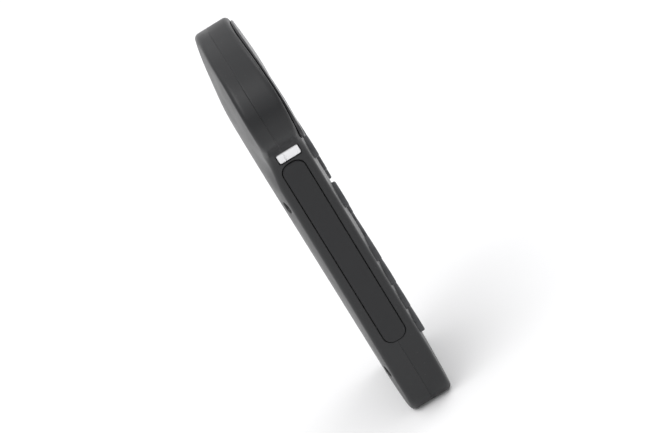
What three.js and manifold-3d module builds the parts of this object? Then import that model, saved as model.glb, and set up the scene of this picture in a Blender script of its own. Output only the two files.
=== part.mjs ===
// Hand controller for a motorised telescope: two moulded shells, a fascia with a
// display, nineteen keys over a keypad mat, the boards behind them, soft side
// grips, and two sockets in the bottom end.
//
// Working axes while modelling: x to the right seen from the front, y from the
// front (negative) to the back (positive) measured from the plane where the two
// shells meet, and d downwards from the top of the head, so z = Z_ORIGIN - d.
// The finished group is shifted so that y = 0 is the flat back pad.

import * as THREE from 'three';
import { mergeVertices } from 'three/addons/utils/BufferGeometryUtils.js';
import Module from 'manifold-3d';

const wasm = await Module();
wasm.setup();

// ------------------------------------------------------------------ dimensions (mm)
const Z_ORIGIN = 130;          // distance from the top of the head to the origin
const LENGTH = 189;            // overall length
const BACK_PAD_Y = 11.5;       // flat back pad, from the parting plane
const GAP = 0.3;               // clearance between neighbouring pieces

// half-width of the case against distance from the top: [half-width, d]
const OUTLINE = [
  [0, 0], [8, 0.54], [15.4, 2.0], [21.5, 4.0], [26.2, 6.0], [30.0, 8.05], [33.4, 10.3], [36.6, 13.0],
  [39.4, 16.2], [41.6, 19.8], [42.9, 23.4], [43.5, 27.0], [43.3, 30.5], [42.4, 33.8], [40.6, 37.0],
  [38.2, 39.8], [35.9, 42.6], [34.3, 45.6], [33.3, 49.0], [32.7, 53.0], [32.3, 60.0], [31.9, 75.0],
  [31.3, 100.0], [30.4, 130.0], [29.3, 158.0], [28.6, 172.0], [27.8, 179.5], [26.3, 184.3],
  [24.0, 187.6], [21.0, 189.0],
];
// back centre line: [d, y]
const BACK_CREST = [[0, 5.5], [2.8, 6.6], [5.8, 7.45], [8.8, 8.0], [11.7, 8.5], [14.7, 8.98], [20.7, 9.7],
  [26.6, 10.55], [32.6, 11.2], [41.5, 11.45], [50, 11.5], [60, 11.5], [168, 11.5], [180, 11.3], [189, 10.9]];
// front centre line of the front shell: [d, depth]
const FRONT_CREST = [[0, 8.6], [2, 9.25], [4, 9.7], [6, 10.05], [8, 10.3], [10.3, 10.5], [13, 10.7], [16.2, 10.87],
  [19.8, 11.0], [27, 11.1], [45, 11.1], [60, 11.2], [160, 11.2], [189, 10.5]];
// how fast the front falls away sideways: depth lost = factor * x^2
const FRONT_FALL = [[0, 0.0001], [18, 0.0002], [31, 0.0006], [42, 0.0011], [55, 0.0016], [189, 0.0017]];
// front centre line of the fascia: [d, depth]
const FASCIA_CREST = [[2, 10.5], [4, 10.95], [6, 11.3], [9, 11.7], [12, 12.0], [16, 12.3], [20, 12.5], [30, 12.6],
  [40, 12.5], [49, 12.1]];
const FASCIA_FALL = 0.0006;
// back crown on the head: depth lost = factor * x^2, so that its edge keeps to one level
const HEAD_BACK_FALL = [[0, 0.0023], [4, 0.0025], [10, 0.002], [20, 0.0018], [30, 0.0024], [36, 0.0028], [41, 0.0033], [46, 0.0039]];
const GRIP_BACK_FALL = 0.00895; // back crown on the grip, outside the flat pad
const PAD_HALF_WIDTH = 13;      // flat back pad

const EDGE_RADIUS = 1.8;        // front edge of the case
const BACK_EDGE_DROP = 1.9;     // height of the rounded back edge
const FRONT_WALL = 2.0;
const BACK_WALL = 2.2;

const WINDOW = { w: 55, h: 14.6, d: 26.8 };
const KEY_TOP = 12.6;           // key face, depth from the parting plane
const KEY_TRAVEL = 1.0;
const KEY_FLANGE_FRONT = 7.8;
const KEY_FLANGE_BACK = 7.0;
const KEY_FLANGE = 0.8;         // flange, wider than the cap all round
const KEY_GAP = 0.35;

const FUNCTION_KEYS = { d: 57, pitch: 16.8, w: 13, h: 7.6, r: 3.6 };
const ARROW_KEYS = { d: 84, dx: 15, dz: 12, r: 6 };
const GRID_KEYS = { rows: [113, 126.5, 140, 153.5], pitch: 17, w: 13, h: 8.4, r: 2.8 };

const MAT = { front: 5.7, back: 5.0, half: 20.6, top: 51.5, bottom: 159.5 };
const BOARD = { front: 4.7, back: 3.1, half: 21.8, top: 50, waist: 159.5, tailHalf: 16.6, bottom: 186.0 };
const LCD_BOARD = { front: 4.0, back: 2.9, half: 31, top: 11.8, bottom: 41.8 };

const CASE_SCREWS = [[25.6, 71], [22.6, 165]];
const LIP = { gap: 0.3, wall: 0.9, front: 1.6, root: 1.0, back: 2.4, bottom: 158 }; // locating lip of the back shell
const BOARD_SCREWS = [[18.8, 67], [13.5, 163]];
const LCD_SCREWS = [[28.2, 14.0], [28.2, 39.6]];

const CABLE_SOCKET = { x: -8, w: 13, y0: -2.8, y1: 7.6, top: 171.5, bottom: 188.3, openW: 9.9, openH: 6.6, openY: 2.5, depth: 12.5 };
const DATA_SOCKET = { x: 9, w: 7.8, y0: -2.8, y1: 1.2, top: 178.8, bottom: 188.3, openW: 6.8, openH: 3.0, depth: 7.5 };

const SIDE_GRIP = { top: 50.6, bottom: 150, y0: -5.6, y1: 4.6, r: 4.2, proud: 0.5, depth: 1.4 };
const TRIM = { top: 43.9, bottom: 49.0, y0: -7.0, y1: 3.2, r: 0.9, proud: 0.3, depth: 1.1 };
const PLATE = { half: 11, top: 76, bottom: 97, y0: 10.9, y1: 11.4, r: 1.5 };

// ------------------------------------------------------------------ materials
const plastic = new THREE.MeshStandardMaterial({ color: 0x3c3d3f, roughness: 0.62, metalness: 0.0 });
const plasticBack = new THREE.MeshStandardMaterial({ color: 0x404143, roughness: 0.62, metalness: 0.0 });
const gloss = new THREE.MeshStandardMaterial({ color: 0x141517, roughness: 0.12, metalness: 0.0 });
const clear = new THREE.MeshStandardMaterial({ color: 0x2b3330, roughness: 0.05, metalness: 0.0 });
const metal = new THREE.MeshStandardMaterial({ color: 0x9a9da1, roughness: 0.35, metalness: 1.0 });
const blackMetal = new THREE.MeshStandardMaterial({ color: 0x1c1d1f, roughness: 0.45, metalness: 0.8 });
const glass = new THREE.MeshStandardMaterial({ color: 0x4b5a45, roughness: 0.1, metalness: 0.0 });
const diffuser = new THREE.MeshStandardMaterial({ color: 0xe6e2d4, roughness: 0.5, metalness: 0.0 });
const board = new THREE.MeshStandardMaterial({ color: 0x1f5a38, roughness: 0.5, metalness: 0.0 });
const chip = new THREE.MeshStandardMaterial({ color: 0x17181a, roughness: 0.6, metalness: 0.0 });
const silicone = new THREE.MeshStandardMaterial({ color: 0x6d6f72, roughness: 0.75, metalness: 0.0 });
const keyRubber = new THREE.MeshStandardMaterial({ color: 0x55585b, roughness: 0.7, metalness: 0.0 });
const rubber = new THREE.MeshStandardMaterial({ color: 0x2c2d2f, roughness: 0.85, metalness: 0.0 });
const silver = new THREE.MeshStandardMaterial({ color: 0xd9dadb, roughness: 0.3, metalness: 0.85 });
const film = new THREE.MeshStandardMaterial({ color: 0xc9a24a, roughness: 0.45, metalness: 0.0 });
const label = new THREE.MeshStandardMaterial({ color: 0xb9bbbd, roughness: 0.4, metalness: 0.6 });

// ------------------------------------------------------------------ helpers
function lookup(table, d) {
  if (d <= table[0][0]) return table[0][1];
  for (let i = 1; i < table.length; i++) {
    if (d <= table[i][0]) {
      const [d0, v0] = table[i - 1];
      const [d1, v1] = table[i];
      return v0 + ((v1 - v0) * (d - d0)) / (d1 - d0);
    }
  }
  return table[table.length - 1][1];
}

function smooth(a, b, v) {
  const t = Math.min(1, Math.max(0, (v - a) / (b - a)));
  return t * t * (3 - 2 * t);
}

// outer surfaces of the case, as y against x and d
function backSurface(x, d) {
  const t = smooth(42, 62, d);
  const flat = PAD_HALF_WIDTH * t;
  const fall = lookup(HEAD_BACK_FALL, d) * (1 - t) + GRIP_BACK_FALL * t;
  const over = Math.max(0, Math.abs(x) - flat);
  return lookup(BACK_CREST, d) - fall * over * over;
}
function frontSurface(x, d) {
  return -(lookup(FRONT_CREST, d) - lookup(FRONT_FALL, d) * x * x);
}
function fasciaSurface(x, d) {
  return -(lookup(FASCIA_CREST, d) - FASCIA_FALL * x * x);
}

// closed loop (x, d) round an outline given as its right-hand side from the top
// point down to the bottom corner, with the bottom edge split at the same columns
// as the rows inside it
const COLUMNS = [-1, -0.82, -0.62, -0.415, 0, 0.415, 0.62, 0.82, 1];
function closedLoop(side, columns = COLUMNS) {
  const n = side.length - 1;
  const loop = [[0, side[0][1]]];
  for (let i = 1; i <= n; i++) loop.push([side[i][0], side[i][1]]);
  for (let j = columns.length - 2; j >= 1; j--) loop.push([columns[j] * side[n][0], side[n][1]]);
  for (let i = n; i >= 1; i--) loop.push([-side[i][0], side[i][1]]);
  return loop;
}

// move every point of a loop inwards by e(point), square to the outline
function insetLoop(loop, e) {
  const n = loop.length;
  return loop.map((p, i) => {
    const a = loop[(i + n - 1) % n];
    const b = loop[(i + 1) % n];
    const ax = p[0] - a[0], ay = p[1] - a[1], bx = b[0] - p[0], by = b[1] - p[1];
    const la = Math.hypot(ax, ay), lb = Math.hypot(bx, by);
    let nx = -(ay / la) - by / lb, ny = ax / la + bx / lb;
    const l = Math.hypot(nx, ny);
    nx /= l; ny /= l;
    const cosHalf = Math.max(0.5, (-(ay / la)) * nx + (ax / la) * ny);
    const k = (typeof e === 'function' ? e(p) : e) / cosHalf;
    return [p[0] + nx * k, p[1] + ny * k];
  });
}

function geometryFrom(points, faces) {
  const g = new THREE.BufferGeometry();
  g.setAttribute('position', new THREE.BufferAttribute(new Float32Array(points.flat()), 3));
  g.setIndex(faces.flat());
  return g;
}

// closed body between a front and a back surface over an outline. rings holds
// [inset, front edge drop, back edge drop], from the side wall inwards; the last ring
// bounds the rows that fill the middle. The back drop is the front's unless it is given.
function slabBody(side, front, back, rings, columns = COLUMNS) {
  const n = side.length - 1;
  const m = columns.length - 1;
  const base = closedLoop(side, columns);
  const count = base.length;
  const loops = rings.map(([e]) => (e === 0 ? base : insetLoop(base, e)));
  const inner = loops[loops.length - 1];
  const points = [];
  const faces = [];
  const idx = { f: [], b: [] };
  for (const s of ['f', 'b']) {
    loops.forEach((loop, k) => {
      const drop = s === 'f' ? rings[k][1] : rings[k][2] ?? rings[k][1];
      idx[s].push(loop.map(([x, d]) => {
        const y = s === 'f' ? front(x, d) + drop : back(x, d) - drop;
        points.push([x, y, Z_ORIGIN - d]);
        return points.length - 1;
      }));
    });
    // rows inside the last ring
    const rows = [];
    const ring = idx[s][loops.length - 1];
    rows.push([ring[0]]);
    for (let i = 1; i < n; i++) {
      const [w, d] = inner[i];
      const row = [];
      for (let j = 0; j <= m; j++) {
        if (j === m) row.push(ring[i]);
        else if (j === 0) row.push(ring[count - i]);
        else {
          const x = columns[j] * w;
          points.push([x, s === 'f' ? front(x, d) : back(x, d), Z_ORIGIN - d]);
          row.push(points.length - 1);
        }
      }
      rows.push(row);
    }
    const last = [];
    for (let j = 0; j <= m; j++) {
      if (j === m) last.push(ring[n]);
      else if (j === 0) last.push(ring[count - n]);
      else last.push(ring[n + (m - j)]);
    }
    rows.push(last);
    idx[s].rows = rows;
  }
  const tri = (s, a, b, c) => { if (a !== b && b !== c && a !== c) faces.push(s === 'f' ? [a, b, c] : [a, c, b]); };
  for (const s of ['f', 'b']) {
    const rows = idx[s].rows;
    for (let j = 0; j < m; j++) tri(s, rows[0][0], rows[1][j], rows[1][j + 1]);
    for (let i = 1; i < rows.length - 1; i++) {
      for (let j = 0; j < m; j++) {
        tri(s, rows[i][j], rows[i + 1][j], rows[i + 1][j + 1]);
        tri(s, rows[i][j], rows[i + 1][j + 1], rows[i][j + 1]);
      }
    }
    for (let k = 0; k < loops.length - 1; k++) {
      for (let i = 0; i < count; i++) {
        const i2 = (i + 1) % count;
        const a = idx[s][k][i], b = idx[s][k][i2], c = idx[s][k + 1][i2], d = idx[s][k + 1][i];
        tri(s, a, c, b);
        tri(s, a, d, c);
      }
    }
  }
  for (let i = 0; i < count; i++) {
    const i2 = (i + 1) % count;
    const a = idx.f[0][i], b = idx.f[0][i2], c = idx.b[0][i2], d = idx.b[0][i];
    faces.push([a, b, c], [a, c, d]);
  }
  return geometryFrom(points, faces);
}

function solid(geometry) {
  const g = geometry.clone();
  for (const name of ['normal', 'uv']) if (g.getAttribute(name)) g.deleteAttribute(name);
  const m = mergeVertices(g, 1e-4);
  const src = m.index.array;
  const tris = [];
  for (let i = 0; i < src.length; i += 3) {
    if (src[i] !== src[i + 1] && src[i + 1] !== src[i + 2] && src[i] !== src[i + 2]) tris.push(src[i], src[i + 1], src[i + 2]);
  }
  return new wasm.Manifold(new wasm.Mesh({
    numProp: 3, vertProperties: new Float32Array(m.attributes.position.array), triVerts: new Uint32Array(tris),
  }));
}

function geometryOf(body) {
  const mesh = body.getMesh();
  const g = new THREE.BufferGeometry();
  g.setAttribute('position', new THREE.BufferAttribute(new Float32Array(mesh.vertProperties), 3));
  g.setIndex(new THREE.BufferAttribute(new Uint32Array(mesh.triVerts), 1));
  g.computeVertexNormals();
  return g;
}

// flat outline in (x, d), extruded along y from y0 to y1
function prism(points, y0, y1) {
  const shape = new THREE.Shape(points.map(([x, d]) => new THREE.Vector2(x, Z_ORIGIN - d)));
  const g = new THREE.ExtrudeGeometry(shape, { depth: y1 - y0, bevelEnabled: false, steps: 1 });
  g.rotateX(Math.PI / 2);
  g.translate(0, y1, 0);
  return g;
}

// flat outline in (y, d), extruded along x from x0 to x1
function sidePrism(points, x0, x1) {
  const shape = new THREE.Shape(points.map(([y, d]) => new THREE.Vector2(y, Z_ORIGIN - d)));
  const g = new THREE.ExtrudeGeometry(shape, { depth: x1 - x0, bevelEnabled: false, steps: 1 });
  // (u, v, w) -> (w, u, v)
  const p = g.attributes.position;
  for (let i = 0; i < p.count; i++) {
    const u = p.getX(i), v = p.getY(i), w = p.getZ(i);
    p.setXYZ(i, w + x0, u, v);
  }
  return g;
}

// rounded rectangle as a list of points, steps per corner
function roundedRect(cx, cy, w, h, r, steps = 3) {
  const points = [];
  const hw = w / 2 - r, hh = h / 2 - r;
  const corners = [[hw, hh, 0], [-hw, hh, 90], [-hw, -hh, 180], [hw, -hh, 270]];
  for (const [x, y, a] of corners) {
    for (let i = 0; i <= steps; i++) {
      const t = ((a + (90 * i) / steps) * Math.PI) / 180;
      points.push([cx + x + r * Math.cos(t), cy + y + r * Math.sin(t)]);
    }
  }
  return points;
}

function circle(cx, cy, r, steps = 16) {
  const points = [];
  for (let i = 0; i < steps; i++) {
    const t = (2 * Math.PI * (i + 0.5)) / steps;
    points.push([cx + r * Math.cos(t), cy + r * Math.sin(t)]);
  }
  return points;
}

// closed stack of loops along y: levels hold [y, points], all with as many points
function stack(levels) {
  const count = levels[0][1].length;
  const points = [];
  const faces = [];
  const idx = levels.map(([y, loop]) => loop.map(([x, d]) => {
    points.push([x, y, Z_ORIGIN - d]);
    return points.length - 1;
  }));
  const centre = (k) => {
    const [y, loop] = levels[k];
    const cx = loop.reduce((s, p) => s + p[0], 0) / count;
    const cd = loop.reduce((s, p) => s + p[1], 0) / count;
    points.push([cx, y, Z_ORIGIN - cd]);
    return points.length - 1;
  };
  const front = centre(0), back = centre(levels.length - 1);
  for (let i = 0; i < count; i++) {
    const j = (i + 1) % count;
    faces.push([front, idx[0][j], idx[0][i]]);
    faces.push([back, idx[levels.length - 1][i], idx[levels.length - 1][j]]);
    for (let k = 0; k < levels.length - 1; k++) {
      faces.push([idx[k][i], idx[k][j], idx[k + 1][j]], [idx[k][i], idx[k + 1][j], idx[k + 1][i]]);
    }
  }
  let g = geometryFrom(points, faces);
  if (volume(g) < 0) {
    const flipped = faces.map(([a, b, c]) => [a, c, b]);
    g = geometryFrom(points, flipped);
  }
  return g;
}

function volume(g) {
  const p = g.attributes.position, ix = g.index;
  const a = new THREE.Vector3(), b = new THREE.Vector3(), c = new THREE.Vector3();
  let v = 0;
  for (let i = 0; i < ix.count; i += 3) {
    a.fromBufferAttribute(p, ix.getX(i));
    b.fromBufferAttribute(p, ix.getX(i + 1));
    c.fromBufferAttribute(p, ix.getX(i + 2));
    v += a.dot(b.cross(c)) / 6;
  }
  return v;
}

function box(x0, x1, y0, y1, d0, d1) {
  const g = new THREE.BoxGeometry(x1 - x0, y1 - y0, d1 - d0);
  g.translate((x0 + x1) / 2, (y0 + y1) / 2, Z_ORIGIN - (d0 + d1) / 2);
  return g;
}

function rod(x, d, r, y0, y1, steps = 14) {
  const g = new THREE.CylinderGeometry(r, r, y1 - y0, steps);
  g.translate(x, (y0 + y1) / 2, Z_ORIGIN - d);
  return g;
}

const group = new THREE.Group();
function add(name, geometry, material) {
  const g = geometry instanceof THREE.BufferGeometry ? geometry : geometryOf(geometry);
  if (!g.getAttribute('normal')) g.computeVertexNormals();
  const mesh = new THREE.Mesh(g, material);
  mesh.name = name;
  group.add(mesh);
  return mesh;
}

// ------------------------------------------------------------------ the case as one solid
const rim = EDGE_RADIUS;
const RINGS = [[0, rim, BACK_EDGE_DROP], [0.29 * rim, 0.293 * rim, 0.293 * BACK_EDGE_DROP], [rim, 0, 0]];
const outer = solid(slabBody(OUTLINE, frontSurface, backSurface, RINGS));

// the space inside: a thicker wall beside the side grips
const sideWall = (d) => 2.4 + 1.0 * smooth(46, 52, d) * (1 - smooth(152, 160, d));
const insetOutline = (() => {
  const loop = insetLoop(closedLoop(OUTLINE), (p) => sideWall(p[1]));
  return loop.slice(0, OUTLINE.length).map(([x, d], i) => [i === 0 ? 0 : x, d]);
})();
const INNER_COLUMNS = [-1, -0.55, 0, 0.55, 1];
const INNER_ROWS = insetOutline.filter((p, i) => i % 2 === 0 || i > 24 || i === 17);
if (INNER_ROWS[INNER_ROWS.length - 1] !== insetOutline[insetOutline.length - 1]) INNER_ROWS.push(insetOutline[insetOutline.length - 1]);
const cavity = solid(slabBody(INNER_ROWS,
  (x, d) => frontSurface(x, d) + FRONT_WALL,
  (x, d) => backSurface(x, d) - BACK_WALL,
  [[0, 0.9], [1.2, 0]], INNER_COLUMNS));

const frontHalf = outer.intersect(solid(box(-80, 80, -40, -GAP / 2, -20, 220)));
const backHalf = outer.intersect(solid(box(-80, 80, GAP / 2, 40, -20, 220)));

// ------------------------------------------------------------------ side grips and accent strips
function loopPrism(e, y0, y1) {
  return solid(prism(insetLoop(closedLoop(OUTLINE), e), y0, y1));
}
function sideBand(shape, from, to, side) {
  const x0 = side > 0 ? 12 : -70;
  const x1 = side > 0 ? 70 : -12;
  const window = solid(sidePrism(shape, x0, x1));
  return loopPrism(-from, -9.5, 9.5).intersect(window).subtract(loopPrism(to, -9.6, 9.6));
}
const gripShape = (grow) => roundedRect((SIDE_GRIP.y0 + SIDE_GRIP.y1) / 2, (SIDE_GRIP.top + SIDE_GRIP.bottom) / 2,
  SIDE_GRIP.y1 - SIDE_GRIP.y0 + 2 * grow, SIDE_GRIP.bottom - SIDE_GRIP.top + 2 * grow, SIDE_GRIP.r + grow);
const trimShape = (grow) => roundedRect((TRIM.y0 + TRIM.y1) / 2, (TRIM.top + TRIM.bottom) / 2,
  TRIM.y1 - TRIM.y0 + 2 * grow, TRIM.bottom - TRIM.top + 2 * grow, TRIM.r + grow, 2);

const recesses = [];
for (const side of [-1, 1]) {
  const tag = side < 0 ? 'left' : 'right';
  add(`side_grip_${tag}`, sideBand(gripShape(0), SIDE_GRIP.proud, SIDE_GRIP.depth, side), rubber);
  add(`accent_strip_${tag}`, sideBand(trimShape(0), TRIM.proud, TRIM.depth, side), silver);
  recesses.push(sideBand(gripShape(GAP), 4, SIDE_GRIP.depth + GAP, side));
  recesses.push(sideBand(trimShape(GAP), 4, TRIM.depth + GAP, side));
}

// ------------------------------------------------------------------ keys
const keys = [];
const f = FUNCTION_KEYS;
[['escape', -1], ['setup', 0], ['enter', 1]].forEach(([name, c]) => {
  keys.push({ name: `key_${name}`, x: c * f.pitch, d: f.d, loop: (g) => roundedRect(c * f.pitch, f.d, f.w + 2 * g, f.h + 2 * g, f.r + g) });
});
const a = ARROW_KEYS;
[['up', 0, -1], ['left', -1, 0], ['right', 1, 0], ['down', 0, 1]].forEach(([name, cx, cd]) => {
  const x = cx * a.dx, d = a.d + cd * a.dz;
  keys.push({ name: `key_${name}`, x, d, loop: (g) => circle(x, d, a.r + g, 16) });
});
const gk = GRID_KEYS;
[['1', '2', '3'], ['4', '5', '6'], ['7', '8', '9'], ['scroll_up', '0', 'scroll_down']].forEach((row, i) => {
  row.forEach((name, j) => {
    const x = (j - 1) * gk.pitch, d = gk.rows[i];
    keys.push({ name: `key_${name}`, x, d, loop: (g) => roundedRect(x, d, gk.w + 2 * g, gk.h + 2 * g, gk.r + g) });
  });
});
let keyHoles = null;
for (const key of keys) {
  add(key.name, stack([
    [-KEY_TOP, key.loop(-0.8)],
    [-(KEY_TOP - 0.7), key.loop(0)],
    [-KEY_FLANGE_FRONT, key.loop(0)],
    [-KEY_FLANGE_FRONT + 0.001, key.loop(KEY_FLANGE)],
    [-KEY_FLANGE_BACK, key.loop(KEY_FLANGE)],
  ]), keyRubber);
  const hole = solid(prism(key.loop(KEY_GAP), -20, -7));
  keyHoles = keyHoles ? keyHoles.add(hole) : hole;
}

// ------------------------------------------------------------------ shells
const mirror = (list) => list.flatMap(([x, d]) => [[-x, d], [x, d]]);

let front = frontHalf.subtract(cavity);
const bosses = [];
for (const [x, d] of mirror(CASE_SCREWS)) bosses.push(rod(x, d, 3.5, -12, -0.45));
for (const [x, d] of mirror(BOARD_SCREWS)) bosses.push(rod(x, d, 2.2, -12, -(BOARD.front + GAP), 12));
for (const [x, d] of mirror(LCD_SCREWS)) bosses.push(rod(x, d, 1.9, -12, -(LCD_BOARD.front + GAP), 12));
const core = outer.subtract(solid(box(-80, 80, -0.4, 40, -20, 220)))
  .intersect(solid(slabBody(OUTLINE, (x, d) => frontSurface(x, d) + 1.0, (x, d) => backSurface(x, d) - 1.0, [[0, 0], [rim, 0]])));
for (const g of bosses) front = front.add(solid(g).intersect(core));
for (const [x, d] of mirror(CASE_SCREWS)) front = front.subtract(solid(rod(x, d, 1.35, -8.2, 0, 12)));
for (const [x, d] of mirror(BOARD_SCREWS)) front = front.subtract(solid(rod(x, d, 1.2, -8.8, 0, 10)));
for (const [x, d] of mirror(LCD_SCREWS)) front = front.subtract(solid(rod(x, d, 1.1, -8.8, 0, 10)));
front = front.subtract(keyHoles);
front = front.subtract(solid(prism(roundedRect(0, WINDOW.d, WINDOW.w, WINDOW.h, 1.2, 2), -20, -7)));

let back = backHalf.subtract(cavity);
const coreBack = outer.intersect(solid(box(-80, 80, 0.45, 40, -20, 220)))
  .intersect(solid(slabBody(OUTLINE, (x, d) => frontSurface(x, d) + 1.0, (x, d) => backSurface(x, d) - 1.0, [[0, 0], [rim, 0]])));
for (const [x, d] of mirror(CASE_SCREWS)) back = back.add(solid(rod(x, d, 3.6, 0.45, 12)).intersect(coreBack));
for (const [x, d] of mirror(CASE_SCREWS)) {
  back = back.subtract(solid(rod(x, d, 1.4, -1, 20, 12)));
  back = back.subtract(solid(rod(x, d, 2.7, 3.4, 20, 14)));
}
back = back.subtract(solid(prism(roundedRect(0, (PLATE.top + PLATE.bottom) / 2, 2 * PLATE.half + 2 * GAP,
  PLATE.bottom - PLATE.top + 2 * GAP, PLATE.r + GAP, 2), PLATE.y0 - GAP, 20)));

// lip standing inside the front shell's wall, cut away round the screw posts
const lipLoop = (e) => insetLoop(closedLoop(INNER_ROWS, INNER_COLUMNS), e);
const lipRing = (from, to, y0, y1) => solid(prism(lipLoop(from), y0, y1)).subtract(solid(prism(lipLoop(to), y0 - 1, y1 + 1)));
let lip = lipRing(LIP.gap, LIP.gap + LIP.wall, -LIP.front, LIP.back)
  .add(lipRing(-0.4, LIP.gap + LIP.wall, LIP.root, LIP.back))
  .intersect(solid(box(-80, 80, -10, 10, -10, LIP.bottom)));
for (const [x, d] of mirror(CASE_SCREWS)) lip = lip.subtract(solid(rod(x, d, 4.0, -10, 10)));
for (const [x, d] of mirror(CASE_SCREWS)) lip = lip.subtract(solid(box(x - 3, x + 3 + (x > 0 ? 4 : 0), -10, 0.3, d - 4, d + 4)));
back = back.add(lip);

// socket openings through the bottom wall, shared by both shells
const s = CABLE_SOCKET, q = DATA_SOCKET;
const ports = [
  solid(box(s.x - s.w / 2 - GAP, s.x + s.w / 2 + GAP, s.y0 - GAP, s.y1 + GAP, 180, 195)),
  solid(box(q.x - q.w / 2 - GAP, q.x + q.w / 2 + GAP, q.y0 - GAP, q.y1 + GAP, 180, 195)),
];
for (const cut of [...recesses, ...ports]) {
  front = front.subtract(cut);
  back = back.subtract(cut);
}
add('front_shell', front, plastic);
add('back_shell', back, plasticBack);

// ------------------------------------------------------------------ fascia and window
const FASCIA_SIDE = (() => {
  const loop = insetLoop(closedLoop(OUTLINE), 2.6);
  const side = [];
  for (let i = 0; i < OUTLINE.length; i++) if (OUTLINE[i][1] <= 37.5) side.push([i === 0 ? 0 : loop[i][0], loop[i][1]]);
  const [w0, d0] = side[side.length - 1];
  for (const [k, t] of [[0.97, 0.28], [0.9, 0.52], [0.78, 0.72], [0.62, 0.86], [0.42, 0.95]]) side.push([w0 * k, d0 + (49 - d0) * t]);
  side.push([w0 * 0.2, 49]);
  return side;
})();
const fascia = solid(slabBody(FASCIA_SIDE, fasciaSurface, (x, d) => frontSurface(x, d) - 0.4, [[0, 0.5, 0], [0.5, 0, 0]],
  [-1, -0.7, -0.35, 0, 0.35, 0.7, 1])).subtract(solid(prism(roundedRect(0, WINDOW.d, WINDOW.w + 3.6, WINDOW.h + 3.6, 1.6, 2), -20, -5)));
add('fascia', fascia, gloss);
add('display_window', prism(roundedRect(0, WINDOW.d, WINDOW.w + 3, WINDOW.h + 3, 1.3, 2), -12.1, -11.4), clear);

// ------------------------------------------------------------------ display module
const lcdW = 60.4, lcdH = 19.6;
add('lcd_frame', solid(prism(roundedRect(0, WINDOW.d, lcdW, lcdH, 0.8, 1), -8.0, -4.3))
  .subtract(solid(box(-28.6, 28.6, -7.4, -4, WINDOW.d - 8.3, WINDOW.d + 8.3)))
  .subtract(solid(box(-27, 27, -10, -7.2, WINDOW.d - 6.9, WINDOW.d + 6.9))), blackMetal);
add('lcd_glass', box(-28.3, 28.3, -7.1, -5.9, WINDOW.d - 8, WINDOW.d + 8), glass);
add('lcd_backlight', box(-28.3, 28.3, -5.6, -4.3, WINDOW.d - 8, WINDOW.d + 8), diffuser);
let lcdBoard = solid(box(-LCD_BOARD.half, LCD_BOARD.half, -LCD_BOARD.front, -LCD_BOARD.back, LCD_BOARD.top, LCD_BOARD.bottom));
for (const [x, d] of mirror(LCD_SCREWS)) lcdBoard = lcdBoard.subtract(solid(rod(x, d, 1.25, -6, 0, 10)));
add('lcd_board', lcdBoard, board);

// ------------------------------------------------------------------ main board and mat
const B = BOARD;
let mainBoard = solid(prism([[-B.half, B.top], [B.half, B.top], [B.half, B.waist], [B.tailHalf, B.waist + 2],
  [B.tailHalf, B.bottom], [-B.tailHalf, B.bottom], [-B.tailHalf, B.waist + 2], [-B.half, B.waist]], -B.front, -B.back));
for (const [x, d] of mirror(BOARD_SCREWS)) mainBoard = mainBoard.subtract(solid(rod(x, d, 1.35, -6, 0, 10)));
add('main_board', mainBoard, board);
let mat = solid(prism(roundedRect(0, (MAT.top + MAT.bottom) / 2, 2 * MAT.half, MAT.bottom - MAT.top, 2, 1), -MAT.front, -MAT.back));
for (const [x, d] of mirror(BOARD_SCREWS)) mat = mat.subtract(solid(rod(x, d, 2.6, -10, 0, 10)));
add('keypad_mat', mat, silicone);

// ------------------------------------------------------------------ sockets and components
let cable = solid(box(s.x - s.w / 2, s.x + s.w / 2, s.y0, s.y1, s.top, s.bottom));
cable = cable.subtract(solid(box(s.x - s.openW / 2, s.x + s.openW / 2, s.openY - s.openH / 2, s.openY + s.openH / 2, s.bottom - s.depth, s.bottom + 2)));
cable = cable.subtract(solid(box(s.x - 2.1, s.x + 2.1, s.openY, s.openY + s.openH / 2 + 1.2, s.bottom - 9, s.bottom + 2)));
add('cable_socket', cable, chip);
let data = solid(box(q.x - q.w / 2, q.x + q.w / 2, q.y0, q.y1, q.top, q.bottom));
const qy = (q.y0 + q.y1) / 2;
data = data.subtract(solid(box(q.x - q.openW / 2, q.x + q.openW / 2, qy - q.openH / 2, qy + q.openH / 2, q.bottom - q.depth, q.bottom + 2)));
add('data_socket', data, metal);

const onBoard = -(B.back - GAP);
add('processor', box(-7, 7, onBoard, onBoard + 1.6, 103, 117), chip);
add('memory_chip', box(-4, 4, onBoard, onBoard + 1.6, 84, 90), chip);
add('crystal', prism(roundedRect(13, 92, 4.4, 11, 2.1, 3), onBoard, onBoard + 3.5), metal);
add('buzzer', rod(8, 148, 6, onBoard, onBoard + 5, 20), chip);
add('ribbon_header', box(-11, 11, onBoard, onBoard + 2.4, 54, 58), diffuser);

// flat ribbon from the back of the display board to the header on the main board
const ribbonPath = [[-2.7, 37.5], [-2.6, 41.0], [-1.9, 43.5], [-0.9, 46.5], [-0.5, 49.5], [-0.3, 52.5], [-0.1, 57.5]];
const ribbonPoints = [...ribbonPath, ...ribbonPath.slice().reverse().map(([y, d]) => [y + 0.4, d])];
add('display_ribbon', sidePrism(ribbonPoints, -10, 10), film);

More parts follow.
